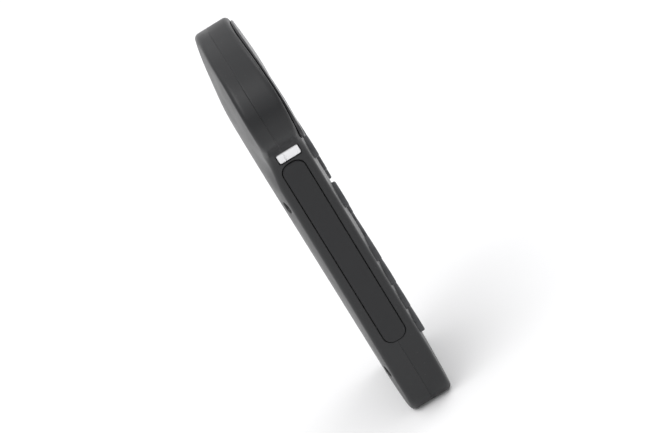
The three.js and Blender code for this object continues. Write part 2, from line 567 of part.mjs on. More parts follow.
// ------------------------------------------------------------------ fasteners
// pan-head screw along y, head towards the back
function screw(x, d, headR, headH, shankR, seat, tip) {
  const profile = [
    [0, tip - 0.6], [shankR * 0.55, tip - 0.6], [shankR, tip], [shankR, seat], [headR, seat],
    [headR, seat + headH * 0.6], [headR * 0.72, seat + headH], [0, seat + headH],
  ].map(([r, y]) => new THREE.Vector2(r, y));
  const g = new THREE.LatheGeometry(profile, 12);
  g.translate(x, 0, Z_ORIGIN - d);
  return g;
}
mirror(CASE_SCREWS).forEach(([x, d], i) => add(`case_screw_${i + 1}`, screw(x, d, 2.35, 1.9, 1.0, 3.7, -6.2), metal));
mirror(BOARD_SCREWS).forEach(([x, d], i) => add(`board_screw_${i + 1}`, screw(x, d, 1.9, 1.3, 0.9, onBoard, -7.8), metal));
mirror(LCD_SCREWS).forEach(([x, d], i) => add(`display_screw_${i + 1}`, screw(x, d, 1.7, 1.2, 0.8, -(LCD_BOARD.back - GAP), -7.6), metal));

add('rating_plate', prism(roundedRect(0, (PLATE.top + PLATE.bottom) / 2, 2 * PLATE.half, PLATE.bottom - PLATE.top, PLATE.r, 2), PLATE.y0, PLATE.y1), label);

// the flat back pad becomes y = 0
const controller = new THREE.Group();
group.position.set(0, -BACK_PAD_Y, 0);
controller.add(group);

export default controller;
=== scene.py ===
import math

import bpy
import bmesh
import numpy as np
from mathutils import Matrix, Vector
from mathutils.geometry import delaunay_2d_cdt
from mathutils.kdtree import KDTree


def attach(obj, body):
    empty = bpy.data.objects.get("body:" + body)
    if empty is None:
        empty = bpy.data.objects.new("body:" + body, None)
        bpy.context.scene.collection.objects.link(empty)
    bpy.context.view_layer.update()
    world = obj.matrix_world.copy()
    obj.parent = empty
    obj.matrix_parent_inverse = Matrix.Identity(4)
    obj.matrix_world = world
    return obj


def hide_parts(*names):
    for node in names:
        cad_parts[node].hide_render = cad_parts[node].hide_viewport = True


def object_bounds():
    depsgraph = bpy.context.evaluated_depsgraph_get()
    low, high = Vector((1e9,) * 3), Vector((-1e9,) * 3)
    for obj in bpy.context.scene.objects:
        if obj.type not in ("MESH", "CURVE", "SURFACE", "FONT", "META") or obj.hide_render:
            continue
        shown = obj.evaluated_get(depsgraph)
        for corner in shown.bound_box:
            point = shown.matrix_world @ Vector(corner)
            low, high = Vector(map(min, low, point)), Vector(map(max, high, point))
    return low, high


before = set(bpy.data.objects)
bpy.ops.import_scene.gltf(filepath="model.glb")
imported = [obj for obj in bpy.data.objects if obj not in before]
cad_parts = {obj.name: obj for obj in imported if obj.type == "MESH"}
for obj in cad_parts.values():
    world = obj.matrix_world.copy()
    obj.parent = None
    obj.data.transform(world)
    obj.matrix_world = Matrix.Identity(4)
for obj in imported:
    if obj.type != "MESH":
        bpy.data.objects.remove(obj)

CAD_BOX = [list(v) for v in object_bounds()]
MM = 0.001
Z0 = 130.0        # distance from the top of the head to the frame's origin
PAD_Y = 11.5      # back pad, from the plane where the two shells meet


# ---------------------------------------------------------------- shape of the case (mm; x, depth below the top, y from the parting plane)
OUTLINE = np.array([
    [0, 0], [8, 0.54], [15.4, 2.0], [21.5, 4.0], [26.2, 6.0], [30.0, 8.05], [33.4, 10.3], [36.6, 13.0],
    [39.4, 16.2], [41.6, 19.8], [42.9, 23.4], [43.5, 27.0], [43.3, 30.5], [42.4, 33.8], [40.6, 37.0],
    [38.2, 39.8], [35.9, 42.6], [34.3, 45.6], [33.3, 49.0], [32.7, 53.0], [32.3, 60.0], [31.9, 75.0],
    [31.3, 100.0], [30.4, 130.0], [29.3, 158.0], [28.6, 172.0], [27.8, 179.5], [26.3, 184.3],
    [24.0, 187.6], [21.0, 189.0]], float)
BACK_CREST = [[0, 5.5], [2.8, 6.6], [5.8, 7.45], [8.8, 8.0], [11.7, 8.5], [14.7, 8.98], [20.7, 9.7],
              [26.6, 10.55], [32.6, 11.2], [41.5, 11.45], [50, 11.5], [60, 11.5], [168, 11.5], [180, 11.3], [189, 10.9]]
FRONT_CREST = [[0, 8.6], [2, 9.25], [4, 9.7], [6, 10.05], [8, 10.3], [10.3, 10.5], [13, 10.7], [16.2, 10.87], [19.8, 11.0],
               [27, 11.1], [45, 11.1], [60, 11.2], [160, 11.2], [189, 10.5]]
FRONT_FALL = [[0, 0.0001], [18, 0.0002], [31, 0.0006], [42, 0.0011], [55, 0.0016], [189, 0.0017]]
FASCIA_CREST = [[2, 10.5], [4, 10.95], [6, 11.3], [9, 11.7], [12, 12.0], [16, 12.3], [20, 12.5], [30, 12.58], [40, 12.5], [49, 12.1]]
BACK_FALL = [[0, 0.0023], [4, 0.0025], [10, 0.002], [20, 0.0018], [30, 0.0024], [36, 0.0028], [41, 0.0033], [46, 0.0039]]
EDGE_R = 1.8          # front edge; the back edge is rounded over the same width and EDGE_B high
EDGE_B = 1.9


def monotone(table):
    """Monotone cubic through the table's points, as a function of an array."""
    t = np.array(table, float)
    x, y = t[:, 0], t[:, 1]
    h = np.diff(x)
    s = np.diff(y) / h
    m = np.zeros(len(x))
    m[0], m[-1] = s[0], s[-1]
    for i in range(1, len(x) - 1):
        if s[i - 1] * s[i] > 0:
            w1, w2 = 2 * h[i] + h[i - 1], h[i] + 2 * h[i - 1]
            m[i] = (w1 + w2) / (w1 / s[i - 1] + w2 / s[i])

    def f(v):
        v = np.clip(np.asarray(v, float), x[0], x[-1])
        i = np.clip(np.searchsorted(x, v, side="right") - 1, 0, len(h) - 1)
        u = (v - x[i]) / h[i]
        return ((1 + 2 * u) * (1 - u) ** 2 * y[i] + u * (1 - u) ** 2 * h[i] * m[i]
                + u * u * (3 - 2 * u) * y[i + 1] + u * u * (u - 1) * h[i] * m[i + 1])
    return f


def softened(f, width):
    """f averaged over up to +-width mm, less near the top, so that its curvature runs on evenly."""
    offsets = np.linspace(-1, 1, 9)
    weights = np.cos(offsets * math.pi / 2 * 0.9) ** 2
    weights /= weights.sum()

    def g(v):
        v = np.asarray(v, float)
        w = np.minimum(width, 0.6 * np.maximum(0, v))
        return sum(k * f(v + w * o) for k, o in zip(weights, offsets))
    return g


back_crest, front_crest, front_fall, fascia_crest, back_fall = map(monotone, (BACK_CREST, FRONT_CREST, FRONT_FALL, FASCIA_CREST, BACK_FALL))
back_crest, back_fall = softened(back_crest, 6.0), softened(back_fall, 7.0)


def smooth(a, b, v):
    t = np.clip((np.asarray(v, float) - a) / (np.asarray(b) - a), 0, 1)
    return t * t * (3 - 2 * t)


def back_surface(x, d):
    t = smooth(42, 62, d)
    over = np.maximum(0, np.abs(x) - 13 * t)
    return back_crest(d) - (back_fall(d) * (1 - t) + 0.00895 * t) * over * over


def front_surface(x, d):
    return -(front_crest(d) - front_fall(d) * np.asarray(x) ** 2)


def fascia_surface(x, d):
    return -(fascia_crest(d) - 0.0006 * np.asarray(x) ** 2)


def spline_side(points, step, head, tail):
    """Centripetal Catmull-Rom through the points, sampled about every step mm."""
    p = np.vstack([head, points, tail])
    out = [points[0]]
    for i in range(1, len(p) - 2):
        a, b, c, e = p[i - 1], p[i], p[i + 1], p[i + 2]
        t0 = 0.0
        t1 = t0 + math.sqrt(np.linalg.norm(b - a))
        t2 = t1 + math.sqrt(np.linalg.norm(c - b))
        t3 = t2 + math.sqrt(np.linalg.norm(e - c))
        n = max(1, int(math.ceil(np.linalg.norm(c - b) / step)))
        for k in range(1, n + 1):
            t = t1 + (t2 - t1) * k / n
            a1 = (t1 - t) / (t1 - t0) * a + (t - t0) / (t1 - t0) * b
            a2 = (t2 - t) / (t2 - t1) * b + (t - t1) / (t2 - t1) * c
            a3 = (t3 - t) / (t3 - t2) * c + (t - t2) / (t3 - t2) * e
            b1 = (t2 - t) / (t2 - t0) * a1 + (t - t0) / (t2 - t0) * a2
            b2 = (t3 - t) / (t3 - t1) * a2 + (t - t1) / (t3 - t1) * a3
            out.append((t2 - t) / (t2 - t1) * b1 + (t - t1) / (t2 - t1) * b2)
    return np.array(out)


def closed(side, step):
    """Right-hand side from the top to the bottom corner, then the bottom edge, then the mirrored side."""
    n = max(2, int(round(2 * side[-1, 0] / step)))
    bottom = np.column_stack([np.linspace(side[-1, 0], -side[-1, 0], n + 1)[1:-1], np.full(n - 1, side[-1, 1])])
    left = side[1:][::-1].copy()
    left[:, 0] *= -1
    return np.vstack([side, bottom, left])


def normals_in(loop):
    """Unit normals pointing into the loop, and the mitre factor at each point."""
    a, b = np.roll(loop, 1, 0), np.roll(loop, -1, 0)
    e1, e2 = loop - a, b - loop
    e1 /= np.linalg.norm(e1, axis=1)[:, None]
    e2 /= np.linalg.norm(e2, axis=1)[:, None]
    n1 = np.column_stack([-e1[:, 1], e1[:, 0]])
    n2 = np.column_stack([-e2[:, 1], e2[:, 0]])
    n = n1 + n2
    n /= np.linalg.norm(n, axis=1)[:, None]
    k = 1 / np.maximum(0.6, (n * n1).sum(1))
    return n, k


def inset(loop, e):
    n, k = normals_in(loop)
    return loop + n * (k * e)[:, None]


def rrect(cx, cy, w, h, r, step=0.8, corner=8):
    pts = []
    hw, hh = w / 2 - r, h / 2 - r
    for x, y, a in ((hw, hh, 0), (-hw, hh, 90), (-hw, -hh, 180), (hw, -hh, 270)):
        for i in range(corner + 1):
            t = math.radians(a + 90 * i / corner)
            pts.append((cx + x + r * math.cos(t), cy + y + r * math.sin(t)))
    return np.array(pts)


def split_long(loop, counts):
    """Adds points along the straight runs of a loop, counts[i] to edge i, so that offset copies keep the same indices."""
    out = []
    for i in range(len(loop)):
        a, b = loop[i], loop[(i + 1) % len(loop)]
        for k in range(counts[i]):
            out.append(a + (b - a) * k / counts[i])
    return np.array(out)


def rrect_rings(cx, cy, w, h, r, offsets, step=0.8, corner=8):
    """The rounded rectangle at several outward offsets, with matching points."""
    base = rrect(cx, cy, w, h, r, corner=corner)
    lengths = np.linalg.norm(np.roll(base, -1, 0) - base, axis=1)
    counts = np.maximum(1, np.round(lengths / step).astype(int))
    return [split_long(rrect(cx, cy, w + 2 * g, h + 2 * g, r + g, corner=corner), counts) for g in offsets]


def circle_rings(cx, cy, r, offsets, n=40):
    t = (np.arange(n) + 0.5) * 2 * math.pi / n
    return [np.column_stack([cx + (r + g) * np.cos(t), cy + (r + g) * np.sin(t)]) for g in offsets]


def inside(points, loop):
    """Which points lie in the loop."""
    res = np.zeros(len(points), bool)
    lo, hi = loop.min(0), loop.max(0)
    idx = np.where((points[:, 0] > lo[0]) & (points[:, 0] < hi[0]) & (points[:, 1] > lo[1]) & (points[:, 1] < hi[1]))[0]
    if not len(idx):
        return res
    p = points[idx]
    hit = np.zeros(len(idx), bool)
    a, b = loop, np.roll(loop, -1, 0)
    for (x1, y1), (x2, y2) in zip(a, b):
        if y1 == y2:
            continue
        c = (y1 > p[:, 1]) != (y2 > p[:, 1])
        hit ^= c & (p[:, 0] < (x2 - x1) * (p[:, 1] - y1) / (y2 - y1) + x1)
    res[idx] = hit
    return res


def away(points, loop, gap):
    """Which points are at least gap from every point of a dense loop."""
    keep = np.ones(len(points), bool)
    lo, hi = loop.min(0) - gap, loop.max(0) + gap
    idx = np.where((points > lo).all(1) & (points < hi).all(1))[0]
    for s in range(0, len(idx), 2000):
        part = idx[s:s + 2000]
        d2 = ((points[part][:, None, :] - loop[None]) ** 2).sum(2).min(1)
        keep[part] = d2 > gap * gap
    return keep


def lattice(lo, hi, step):
    """Triangular lattice over a box."""
    rows = []
    y, k = lo[1], 0
    while y <= hi[1]:
        x = np.arange(lo[0] + (step / 2 if k % 2 else 0), hi[0], step)
        rows.append(np.column_stack([x, np.full(len(x), y)]))
        y += step * 0.866
        k += 1
    return np.vstack(rows)


def triangulate(loops, free, lines=()):
    """Constrained Delaunay over closed loops, open lines and free points: (points, triangles)."""
    pts, edges, n = [], [], 0
    for loop in loops:
        m = len(loop)
        pts.append(loop)
        edges += [(n + i, n + (i + 1) % m) for i in range(m)]
        n += m
    for line in lines:
        m = len(line)
        pts.append(line)
        edges += [(n + i, n + i + 1) for i in range(m - 1)]
        n += m
    pts.append(free)
    flat = np.vstack(pts)
    out = delaunay_2d_cdt([Vector(p) for p in flat], edges, [], 0, 1e-5)
    return np.array([tuple(v) for v in out[0]], float), np.array([tuple(f) for f in out[2] if len(f) == 3], int)


class Body:
    """Collects patches in mm (x, y from the parting plane, depth) and welds them into one mesh."""

    def __init__(self):
        self.v, self.f, self.m, self.n = [], [], [], 0

    def add(self, pts, faces, mat=0):
        pts = np.asarray(pts, float)
        self.v.append(pts)
        self.f += [tuple(int(i) + self.n for i in f) for f in faces]
        self.m += [mat] * len(faces)
        self.n += len(pts)

    def strip(self, a, b, mat=0, close=True):
        """Quads between two rows of points with matching indices."""
        n = len(a)
        r = range(n if close else n - 1)
        self.add(np.vstack([a, b]), [(i, (i + 1) % n, n + (i + 1) % n, n + i) for i in r], mat)

    def build(self, name, weld=0.004, sharp=32, quiet=False):
        co = np.vstack(self.v)
        world = np.column_stack([co[:, 0], co[:, 1] - PAD_Y, Z0 - co[:, 2]]) * MM
        me = bpy.data.meshes.new(name)
        me.from_pydata(world.tolist(), [], self.f)
        me.polygons.foreach_set("material_index", self.m)
        bm = bmesh.new()
        bm.from_mesh(me)
        bmesh.ops.remove_doubles(bm, verts=bm.verts, dist=weld * MM)
        bmesh.ops.dissolve_degenerate(bm, edges=bm.edges, dist=1e-7)
        bmesh.ops.recalc_face_normals(bm, faces=bm.faces)
        if bm.calc_volume(signed=True) < 0:
            bmesh.ops.reverse_faces(bm, faces=bm.faces)
        open_edges = sum(1 for e in bm.edges if len(e.link_faces) != 2)
        bm.to_mesh(me)
        bm.free()
        for p in me.polygons:
            p.use_smooth = True
        me.set_sharp_from_angle(angle=math.radians(sharp))
        ob = bpy.data.objects.new(name, me)
        bpy.context.scene.collection.objects.link(ob)
        if open_edges or not quiet:
            print(f"{name}: {len(me.polygons)} faces, {open_edges} open or shared edges")
        return ob


def nearest(points, wanted):
    """For each wanted 2-D point, the index of the nearest of points, and its distance."""
    tree = KDTree(len(points))
    for i, p in enumerate(points):
        tree.insert((p[0], p[1], 0.0), i)
    tree.balance()
    found = [tree.find((p[0], p[1], 0.0)) for p in wanted]
    return np.array([f[1] for f in found]), np.array([f[2] for f in found])


def xyd(p2, y):
    return np.column_stack([p2[:, 0], y, p2[:, 1]])


def fillet(r, steps):
    """[(inset, drop)] of a rounded edge, from the side wall inwards."""
    return [(r - r * math.cos(t), r - r * math.sin(t)) for t in np.linspace(0, math.pi / 2, steps + 1)]


# ---------------------------------------------------------------- outline, wall coordinate
STEP = 0.9
SIDE = spline_side(OUTLINE, STEP, np.array([[-8, 0.54]]), np.array([[17.0, 189.0]]))
SIDE[:, 0] = np.minimum(SIDE[:, 0], 43.5)
SIDE[:, 1] = np.clip(SIDE[:, 1], 0, 189)
LOOP = closed(SIDE, STEP)
SEG = np.linalg.norm(np.roll(LOOP, -1, 0) - LOOP, axis=1)
S = np.concatenate([[0], np.cumsum(SEG)])          # wall coordinate at each loop point, closing at TOTAL
TOTAL = S[-1]
NRM, _ = normals_in(LOOP)


def wall_point(s, depth):
    """(x, d) of a point on the side wall, moved inwards by depth."""
    s = np.asarray(s) % TOTAL
    px = np.interp(s, S, np.append(LOOP[:, 0], LOOP[0, 0]))
    pd = np.interp(s, S, np.append(LOOP[:, 1], LOOP[0, 1]))
    nx = np.interp(s, S, np.append(NRM[:, 0], NRM[0, 0]))
    nd = np.interp(s, S, np.append(NRM[:, 1], NRM[0, 1]))
    ln = np.hypot(nx, nd)
    return px + nx / ln * depth, pd + nd / ln * depth


def s_of_d(d):
    return float(np.interp(d, SIDE[:, 1], S[:len(SIDE)]))


# ---------------------------------------------------------------- layout shared with the CAD model
WINDOW = (0.0, 26.8, 55.0, 14.6)
KEY_TOP = 12.6
KEYS = []
for key_name, col in (("escape", -1), ("setup", 0), ("enter", 1)):
    KEYS.append(("key_" + key_name, "rect", col * 16.8, 57.0, 13.0, 7.6, 3.6))
for key_name, cx, cd in (("up", 0, -1), ("left", -1, 0), ("right", 1, 0), ("down", 0, 1)):
    KEYS.append(("key_" + key_name, "round", cx * 15.0, 84 + cd * 12.0, 12.0, 12.0, 6.0))
for r_i, row in enumerate((("1", "2", "3"), ("4", "5", "6"), ("7", "8", "9"), ("scroll_up", "0", "scroll_down"))):
    for c_i, key_name in enumerate(row):
        KEYS.append(("key_" + key_name, "rect", (c_i - 1) * 17.0, (113, 126.5, 140, 153.5)[r_i], 13.0, 8.4, 2.8))
CASE_SCREWS = [(sx * x, d) for x, d in ((25.6, 71), (22.6, 165)) for sx in (-1, 1)]
GRIP = dict(top=50.6, bottom=150.0, y0=-5.6, y1=4.6, r=4.2, proud=0.5, depth=1.4)
# the strip at the neck stands in for the highlight on the shoulder there: its bright silver is a painted highlight
TRIM = dict(top=43.9, bottom=49.0, y0=-7.0, y1=3.2, r=0.9, proud=0.3, depth=1.1)
PLATE = (0.0, 86.5, 22.0, 21.0, 1.5)
PORTS = [(-8.0, 2.4, 13.6, 11.0), (9.0, -0.8, 8.4, 4.6)]     # x, y, width, height of the openings in the bottom wall


def key_rings(key, offsets, step=0.8):
    _, form, x, d, w, h, r = key
    if form == "round":
        return circle_rings(x, d, r, offsets, 48)
    return rrect_rings(x, d, w, h, r, offsets, step)


# ---------------------------------------------------------------- face sheets of the shells
def sheet(rings, holes, free_step, margin=0.7, extra=(), bounds_loop=None):
    """Triangulates the region inside rings[0] and outside every hole's first ring.
    rings and holes hold (loop, drop) lists. Returns points, drops, triangles."""
    loops = [l for l, _ in rings] + [l for h in holes for l, _ in h] + [l for l, _ in extra]
    every = list(rings) + [p for h in holes for p in h] + list(extra)
    on_loop = np.vstack([l for l, _ in every])
    loop_drop = np.concatenate([np.full(len(l), dr) for l, dr in every])
    lo, hi = rings[0][0].min(0), rings[0][0].max(0)
    free = lattice(lo, hi, free_step)
    free = free[inside(free, rings[-1][0])]
    for l in loops:
        free = free[away(free, l, margin)]
    for h in holes:
        free = free[~inside(free, h[0][0])]
    pts, tris = triangulate(loops, free)
    c = pts[tris].mean(1)
    keep = inside(c, rings[0][0])
    for h in holes:
        keep &= ~inside(c, h[0][0])
    tris = tris[keep]
    k, dist = nearest(on_loop, pts)
    drop = np.where(dist < 2e-3, loop_drop[k], 0.0)
    return pts, drop, tris


INNER = 2.5      # wall thickness seen in plan


def half_shell(front):
    """One half of the case: face sheet with its holes, side wall with its recesses, rim and inner skin."""
    sign = -1 if front else 1
    surf = front_surface if front else back_surface
    wall_t = 2.0 if front else 2.2
    body = Body()

    def y_at(p, drop):
        return surf(p[:, 0], p[:, 1]) - sign * drop

    edge = EDGE_R if front else EDGE_B
    rings = [(inset(LOOP, e), dr * edge / EDGE_R) for e, dr in fillet(EDGE_R, 7)]
    inner_loop = inset(LOOP, INNER)
    rings.append((inner_loop, 0.0))
    holes = []
    extra = []
    if front:
        for key in KEYS:
            offs = [0.35, 0.41, 0.53, 0.73]
            holes.append(list(zip(key_rings(key, offs), [0.38, 0.2, 0.07, 0.0])))
        offs = [0.0, 0.15, 0.5]
        holes.append(list(zip(rrect_rings(WINDOW[0], WINDOW[1], WINDOW[2], WINDOW[3], 1.2, offs), [0.4, 0.1, 0.0])))
    else:
        for x, d in CASE_SCREWS:
            holes.append(list(zip(circle_rings(x, d, 2.7, [0.0, 0.08, 0.22, 0.42], 40), [0.42, 0.22, 0.08, 0.0])))
        # recess for the rating plate: a step in the sheet
        px, pd, pw, ph, pr = PLATE
        plate_rings = rrect_rings(px, pd, pw, ph, pr, [0.24, 0.3, 0.42, 0.55])
        extra = list(zip(plate_rings, [0.9, 0.12, 0.03, 0.0]))
    pts, drop, tris = sheet(rings, holes, 2.2, extra=extra)
    if not front:
        inside_plate = inside(pts, plate_rings[0]) & (drop == 0)
        drop[inside_plate] = 0.9
    outer_y = y_at(pts, drop)
    body.add(xyd(pts, outer_y), tris)
    # inner skin: the same triangles inside the inner loop
    c = pts[tris].mean(1)
    core = inside(c, inner_loop)
    inner_y = surf(pts[:, 0], pts[:, 1]) - sign * wall_t
    body.add(xyd(pts, inner_y), tris[core][:, ::-1])
    for h in holes:
        l0, dr0 = h[0]
        body.strip(xyd(l0, surf(l0[:, 0], l0[:, 1]) - sign * dr0), xyd(l0, surf(l0[:, 0], l0[:, 1]) - sign * wall_t))
    # side wall in (s, y)
    y_edge = surf(LOOP[:, 0], LOOP[:, 1]) - sign * edge
    top = np.column_stack([S, np.append(y_edge, y_edge[0])])
    part = sign * 0.004
    lines = [top]
    for y in (part, sign * 0.08, sign * 0.2, sign * 0.5, sign * 1.0):
        lines.append(np.column_stack([S, np.full(len(S), y)]))
    ends = np.linspace(part, y_edge[0], 7)
    lines.append(np.column_stack([np.zeros(7), ends]))
    lines.append(np.column_stack([np.full(7, TOTAL), ends]))
    shapes = []
    for feature, depth in ((GRIP, GRIP["depth"] + 0.3), (TRIM, TRIM["depth"] + 0.3)):
        s0, s1 = s_of_d(feature["top"]), s_of_d(feature["bottom"])
        for mid in ((s0 + s1) / 2, TOTAL - (s0 + s1) / 2):
            shapes.append((mid, (feature["y0"] + feature["y1"]) / 2, s1 - s0, feature["y1"] - feature["y0"], feature["r"], depth))
    loops = []
    offs = [0.26, 0.3, 0.34, 0.42, 0.54]
    for sx, sy, w, h, r, depth in shapes:
        loops += rrect_rings(sx, sy, w, h, r, offs, step=1.0)
    free = lattice((0.6, min(part, y_edge.min())), (TOTAL - 0.6, max(part, y_edge.max())), 1.3)
    y_lim = np.interp(free[:, 0], S, np.append(y_edge, y_edge[0]))
    if front:
        free = free[(free[:, 1] > y_lim + 0.7) & (free[:, 1] < part - 1.5)]
    else:
        free = free[(free[:, 1] < y_lim - 0.7) & (free[:, 1] > part + 1.5)]
    for l in loops:
        free = free[away(free, l, 0.45)]
    p2, t2 = triangulate(loops, free, lines)
    c = p2[t2].mean(1)
    lim = np.interp(c[:, 0], S, np.append(y_edge, y_edge[0]))
    keep = (c[:, 0] > 0) & (c[:, 0] < TOTAL)
    keep &= (c[:, 1] > lim) & (c[:, 1] < part) if front else (c[:, 1] < lim) & (c[:, 1] > part)
    t2 = t2[keep]
    # how far the side wall is set in: a slight rounding at the parting plane and the recesses for the grip and the
    # strip
    depth_at = np.zeros(len(p2))
    near = np.abs(np.abs(p2[:, 1]))
    depth_at = np.maximum(depth_at, np.interp(near, [0.004, 0.08, 0.2], [0.12, 0.05, 0.0]))
    for sx, sy, w, h, r, depth in shapes:
        q = np.abs(p2 - [sx, sy]) - [w / 2 - r, h / 2 - r]
        sd = np.hypot(np.maximum(q[:, 0], 0), np.maximum(q[:, 1], 0)) + np.minimum(np.maximum(q[:, 0], q[:, 1]), 0) - r
        depth_at = np.maximum(depth_at, np.interp(sd, [0.255, 0.3, 0.34, 0.42, 0.54], [depth, 0.28, 0.13, 0.04, 0.0]))
    wx, wd = wall_point(np.clip(p2[:, 0], 0, TOTAL), depth_at)
    # the ends of the strip weld together at the top of the head
    body.add(np.column_stack([wx, p2[:, 1], wd]), t2)
    used = np.unique(t2)
    on_part = used[np.abs(p2[used, 1] - part) < 1e-4]
    order = on_part[np.argsort(p2[on_part, 0])]
    rim = np.column_stack([wx[order], wd[order]])
    # rim face, from the side wall to the inner skin
    seal, tri = triangulate([rim, inner_loop], np.zeros((0, 2)))
    c = seal[tri].mean(1)
    k = inside(c, rim) & ~inside(c, inner_loop)
    body.add(xyd(seal, np.full(len(seal), part)), tri[k])
    body.strip(xyd(inner_loop, np.full(len(inner_loop), part)), xyd(inner_loop, surf(inner_loop[:, 0], inner_loop[:, 1]) - sign * wall_t))
    return body


# ---------------------------------------------------------------- plates: fascia, window, rating plate
def plate(rings, holes, top, bottom, free_step=2.0, pad=None):
    """A thin plate over the region; pad = (clear, reach) lets its underside reach further down inside the rim."""
    body = Body()
    pts, drop, tris = sheet(rings, holes, free_step)
    low = bottom(pts[:, 0], pts[:, 1])
    if pad:
        edge = np.full(len(pts), 1e9)
        for i in range(0, len(pts), 1000):
            edge[i:i + 1000] = np.sqrt(((pts[i:i + 1000, None, :] - rings[0][0][None]) ** 2).sum(2).min(1))
        low = low + pad[1] * smooth(pad[0], pad[0] + 0.25, edge)
    body.add(xyd(pts, top(pts[:, 0], pts[:, 1]) + drop), tris)
    body.add(xyd(pts, low), tris[:, ::-1])
    for l, dr in [rings[0]] + [h[0] for h in holes]:
        under = low[nearest(pts, l)[0]]
        body.strip(xyd(l, top(l[:, 0], l[:, 1]) + dr), xyd(l, under))
    return body


def side_pad(feature, mirror, crowned=False):
    """A pad set in the side wall: outer face proud of the wall, rounded all round, and a flat back."""
    s0, s1 = s_of_d(feature["top"]), s_of_d(feature["bottom"])
    mid = (s0 + s1) / 2
    if mirror:
        mid = TOTAL - mid
    w, h, r = s1 - s0, feature["y1"] - feature["y0"], feature["r"]
    cy = (feature["y0"] + feature["y1"]) / 2
    rad = min(0.55, r * 0.6)
    prof = fillet(rad, 5)
    rings = rrect_rings(mid, cy, w, h, r, [-e for e, _ in prof], step=0.9)
    proud = feature["proud"]
    lo, hi = rings[0].min(0), rings[0].max(0)
    free = lattice(lo, hi, 1.0)
    free = free[inside(free, rings[-1])]
    for l in rings:
        free = free[away(free, l, 0.45)]
    lines = []
    if crowned:
        free = free[np.abs(free[:, 1]) > 0.5]
        a, b = rings[-1][:, 0].min() + 0.05, rings[-1][:, 0].max() - 0.05
        lines = [np.column_stack([np.linspace(a, b, 9), np.full(9, y)]) for y in (-0.3, -0.14, 0.0, 0.14, 0.3)]
    p2, t2 = triangulate(rings, free, lines)
    c = p2[t2].mean(1)
    t2 = t2[inside(c, rings[0])]
    q = np.abs(p2 - [mid, cy]) - [w / 2 - r, h / 2 - r]
    sd = np.hypot(np.maximum(q[:, 0], 0), np.maximum(q[:, 1], 0)) + np.minimum(np.maximum(q[:, 0], q[:, 1]), 0) - r
    e = np.clip(-sd, 0, rad)
    drop = rad - np.sqrt(np.maximum(0, rad * rad - (rad - e) ** 2))
    out = -(proud - drop)
    # slight crown, so that the light runs along it
    crown = 0.12 * (1 - ((p2[:, 1] - cy) / (h / 2)) ** 2)
    out = out + 0.12 - crown
    if crowned:
        out = out + 0.30 * ((p2[:, 0] - mid) / (w / 2)) ** 2 + 0.28 * np.exp(-(p2[:, 1] / 0.16) ** 2)
    body = Body()
    wx, wd = wall_point(p2[:, 0], out)
    body.add(np.column_stack([wx, p2[:, 1], wd]), t2)
    bx, bd = wall_point(p2[:, 0], np.full(len(p2), feature["depth"]))
    body.add(np.column_stack([bx, p2[:, 1], bd]), t2[:, ::-1])
    l = rings[0]
    ax, ad = wall_point(l[:, 0], out[nearest(p2, l)[0]])
    cx, cd = wall_point(l[:, 0], np.full(len(l), feature["depth"]))
    body.strip(np.column_stack([ax, l[:, 1], ad]), np.column_stack([cx, l[:, 1], cd]))
    return body


def key_body(key):
    """A soft key: flange under the shell, straight sides, rounded top edge and a slightly dished face."""
    _, form, x, d, w, h, r = key
    body = Body()
    levels = [(0.8, -7.0), (0.8, -7.75), (0.62, -7.8), (0.0, -7.8), (0.0, -9.5), (0.0, -(KEY_TOP - 0.75))]
    rad = 0.75
    for t in np.linspace(0, math.pi / 2, 7)[1:]:
        levels.append((-(rad - rad * math.cos(t)), -(KEY_TOP - rad + rad * math.sin(t))))
    half = min(w, h) / 2
    rings = key_rings(key, [g for g, _ in levels])
    centre = np.array([x, d])
    inner = [rings[-1] + (centre - rings[-1]) * k for k in (0.12, 0.26, 0.42, 0.6, 0.8)]
    rows = [xyd(l, np.full(len(l), y)) for l, (_, y) in zip(rings, levels)]
    for k, l in zip((0.12, 0.26, 0.42, 0.6, 0.8), inner):
        dish = 0.28 * math.sin(k * math.pi / 2) ** 2 if form == "rect" else 0.45 * math.sin(k * math.pi / 2) ** 2
        rows.append(xyd(l, np.full(len(l), -(KEY_TOP - dish))))
    for a, b in zip(rows, rows[1:]):
        body.strip(a, b)
    n = len(rows[0])
    bottom = np.vstack([rows[0], [[x, -7.0, d]]])
    body.add(bottom, [(i, (i + 1) % n, n) for i in range(n)])
    dish = 0.28 if form == "rect" else 0.45
    top = np.vstack([rows[-1], [[x, -(KEY_TOP - dish), d]]])
    body.add(top, [(i, (i + 1) % n, n) for i in range(n)])
    return body


# ---------------------------------------------------------------- helpers for the detailed small pieces
def finish_mesh(ob, sharp=32):
    me = ob.data
    for p in me.polygons:
        p.use_smooth = True
    me.set_sharp_from_angle(angle=math.radians(sharp))
    me.update()


def apply_modifiers(ob):
    deps = bpy.context.evaluated_depsgraph_get()
    me = bpy.data.meshes.new_from_object(ob.evaluated_get(deps))
    ob.modifiers.clear()
    ob.data = me


def cut(ob, cutters):
    """Boolean difference, applied; the cutters are removed."""
    for c in cutters:
        m = ob.modifiers.new("cut", "BOOLEAN")
        m.operation = "DIFFERENCE"
        m.solver = "EXACT"
        m.object = c
    bpy.context.view_layer.update()
    apply_modifiers(ob)
    for c in cutters:
        bpy.data.objects.remove(c)


def join(name, parts):
    """Joins meshes, keeping each part's materials, and returns the new object."""
    bm = bmesh.new()
    mats = []
    for ob in parts:
        base = len(mats)
        mats += [m for m in ob.data.materials] or [None]
        start = len(bm.faces)
        bm.from_mesh(ob.data)
        bm.faces.ensure_lookup_table()
        for f in bm.faces[start:]:
            f.material_index += base
    me = bpy.data.meshes.new(name)
    bm.to_mesh(me)
    bm.free()
    for m in mats:
        me.materials.append(m)
    for ob in parts:
        bpy.data.objects.remove(ob)
    new = bpy.data.objects.new(name, me)
    bpy.context.scene.collection.objects.link(new)
    return new


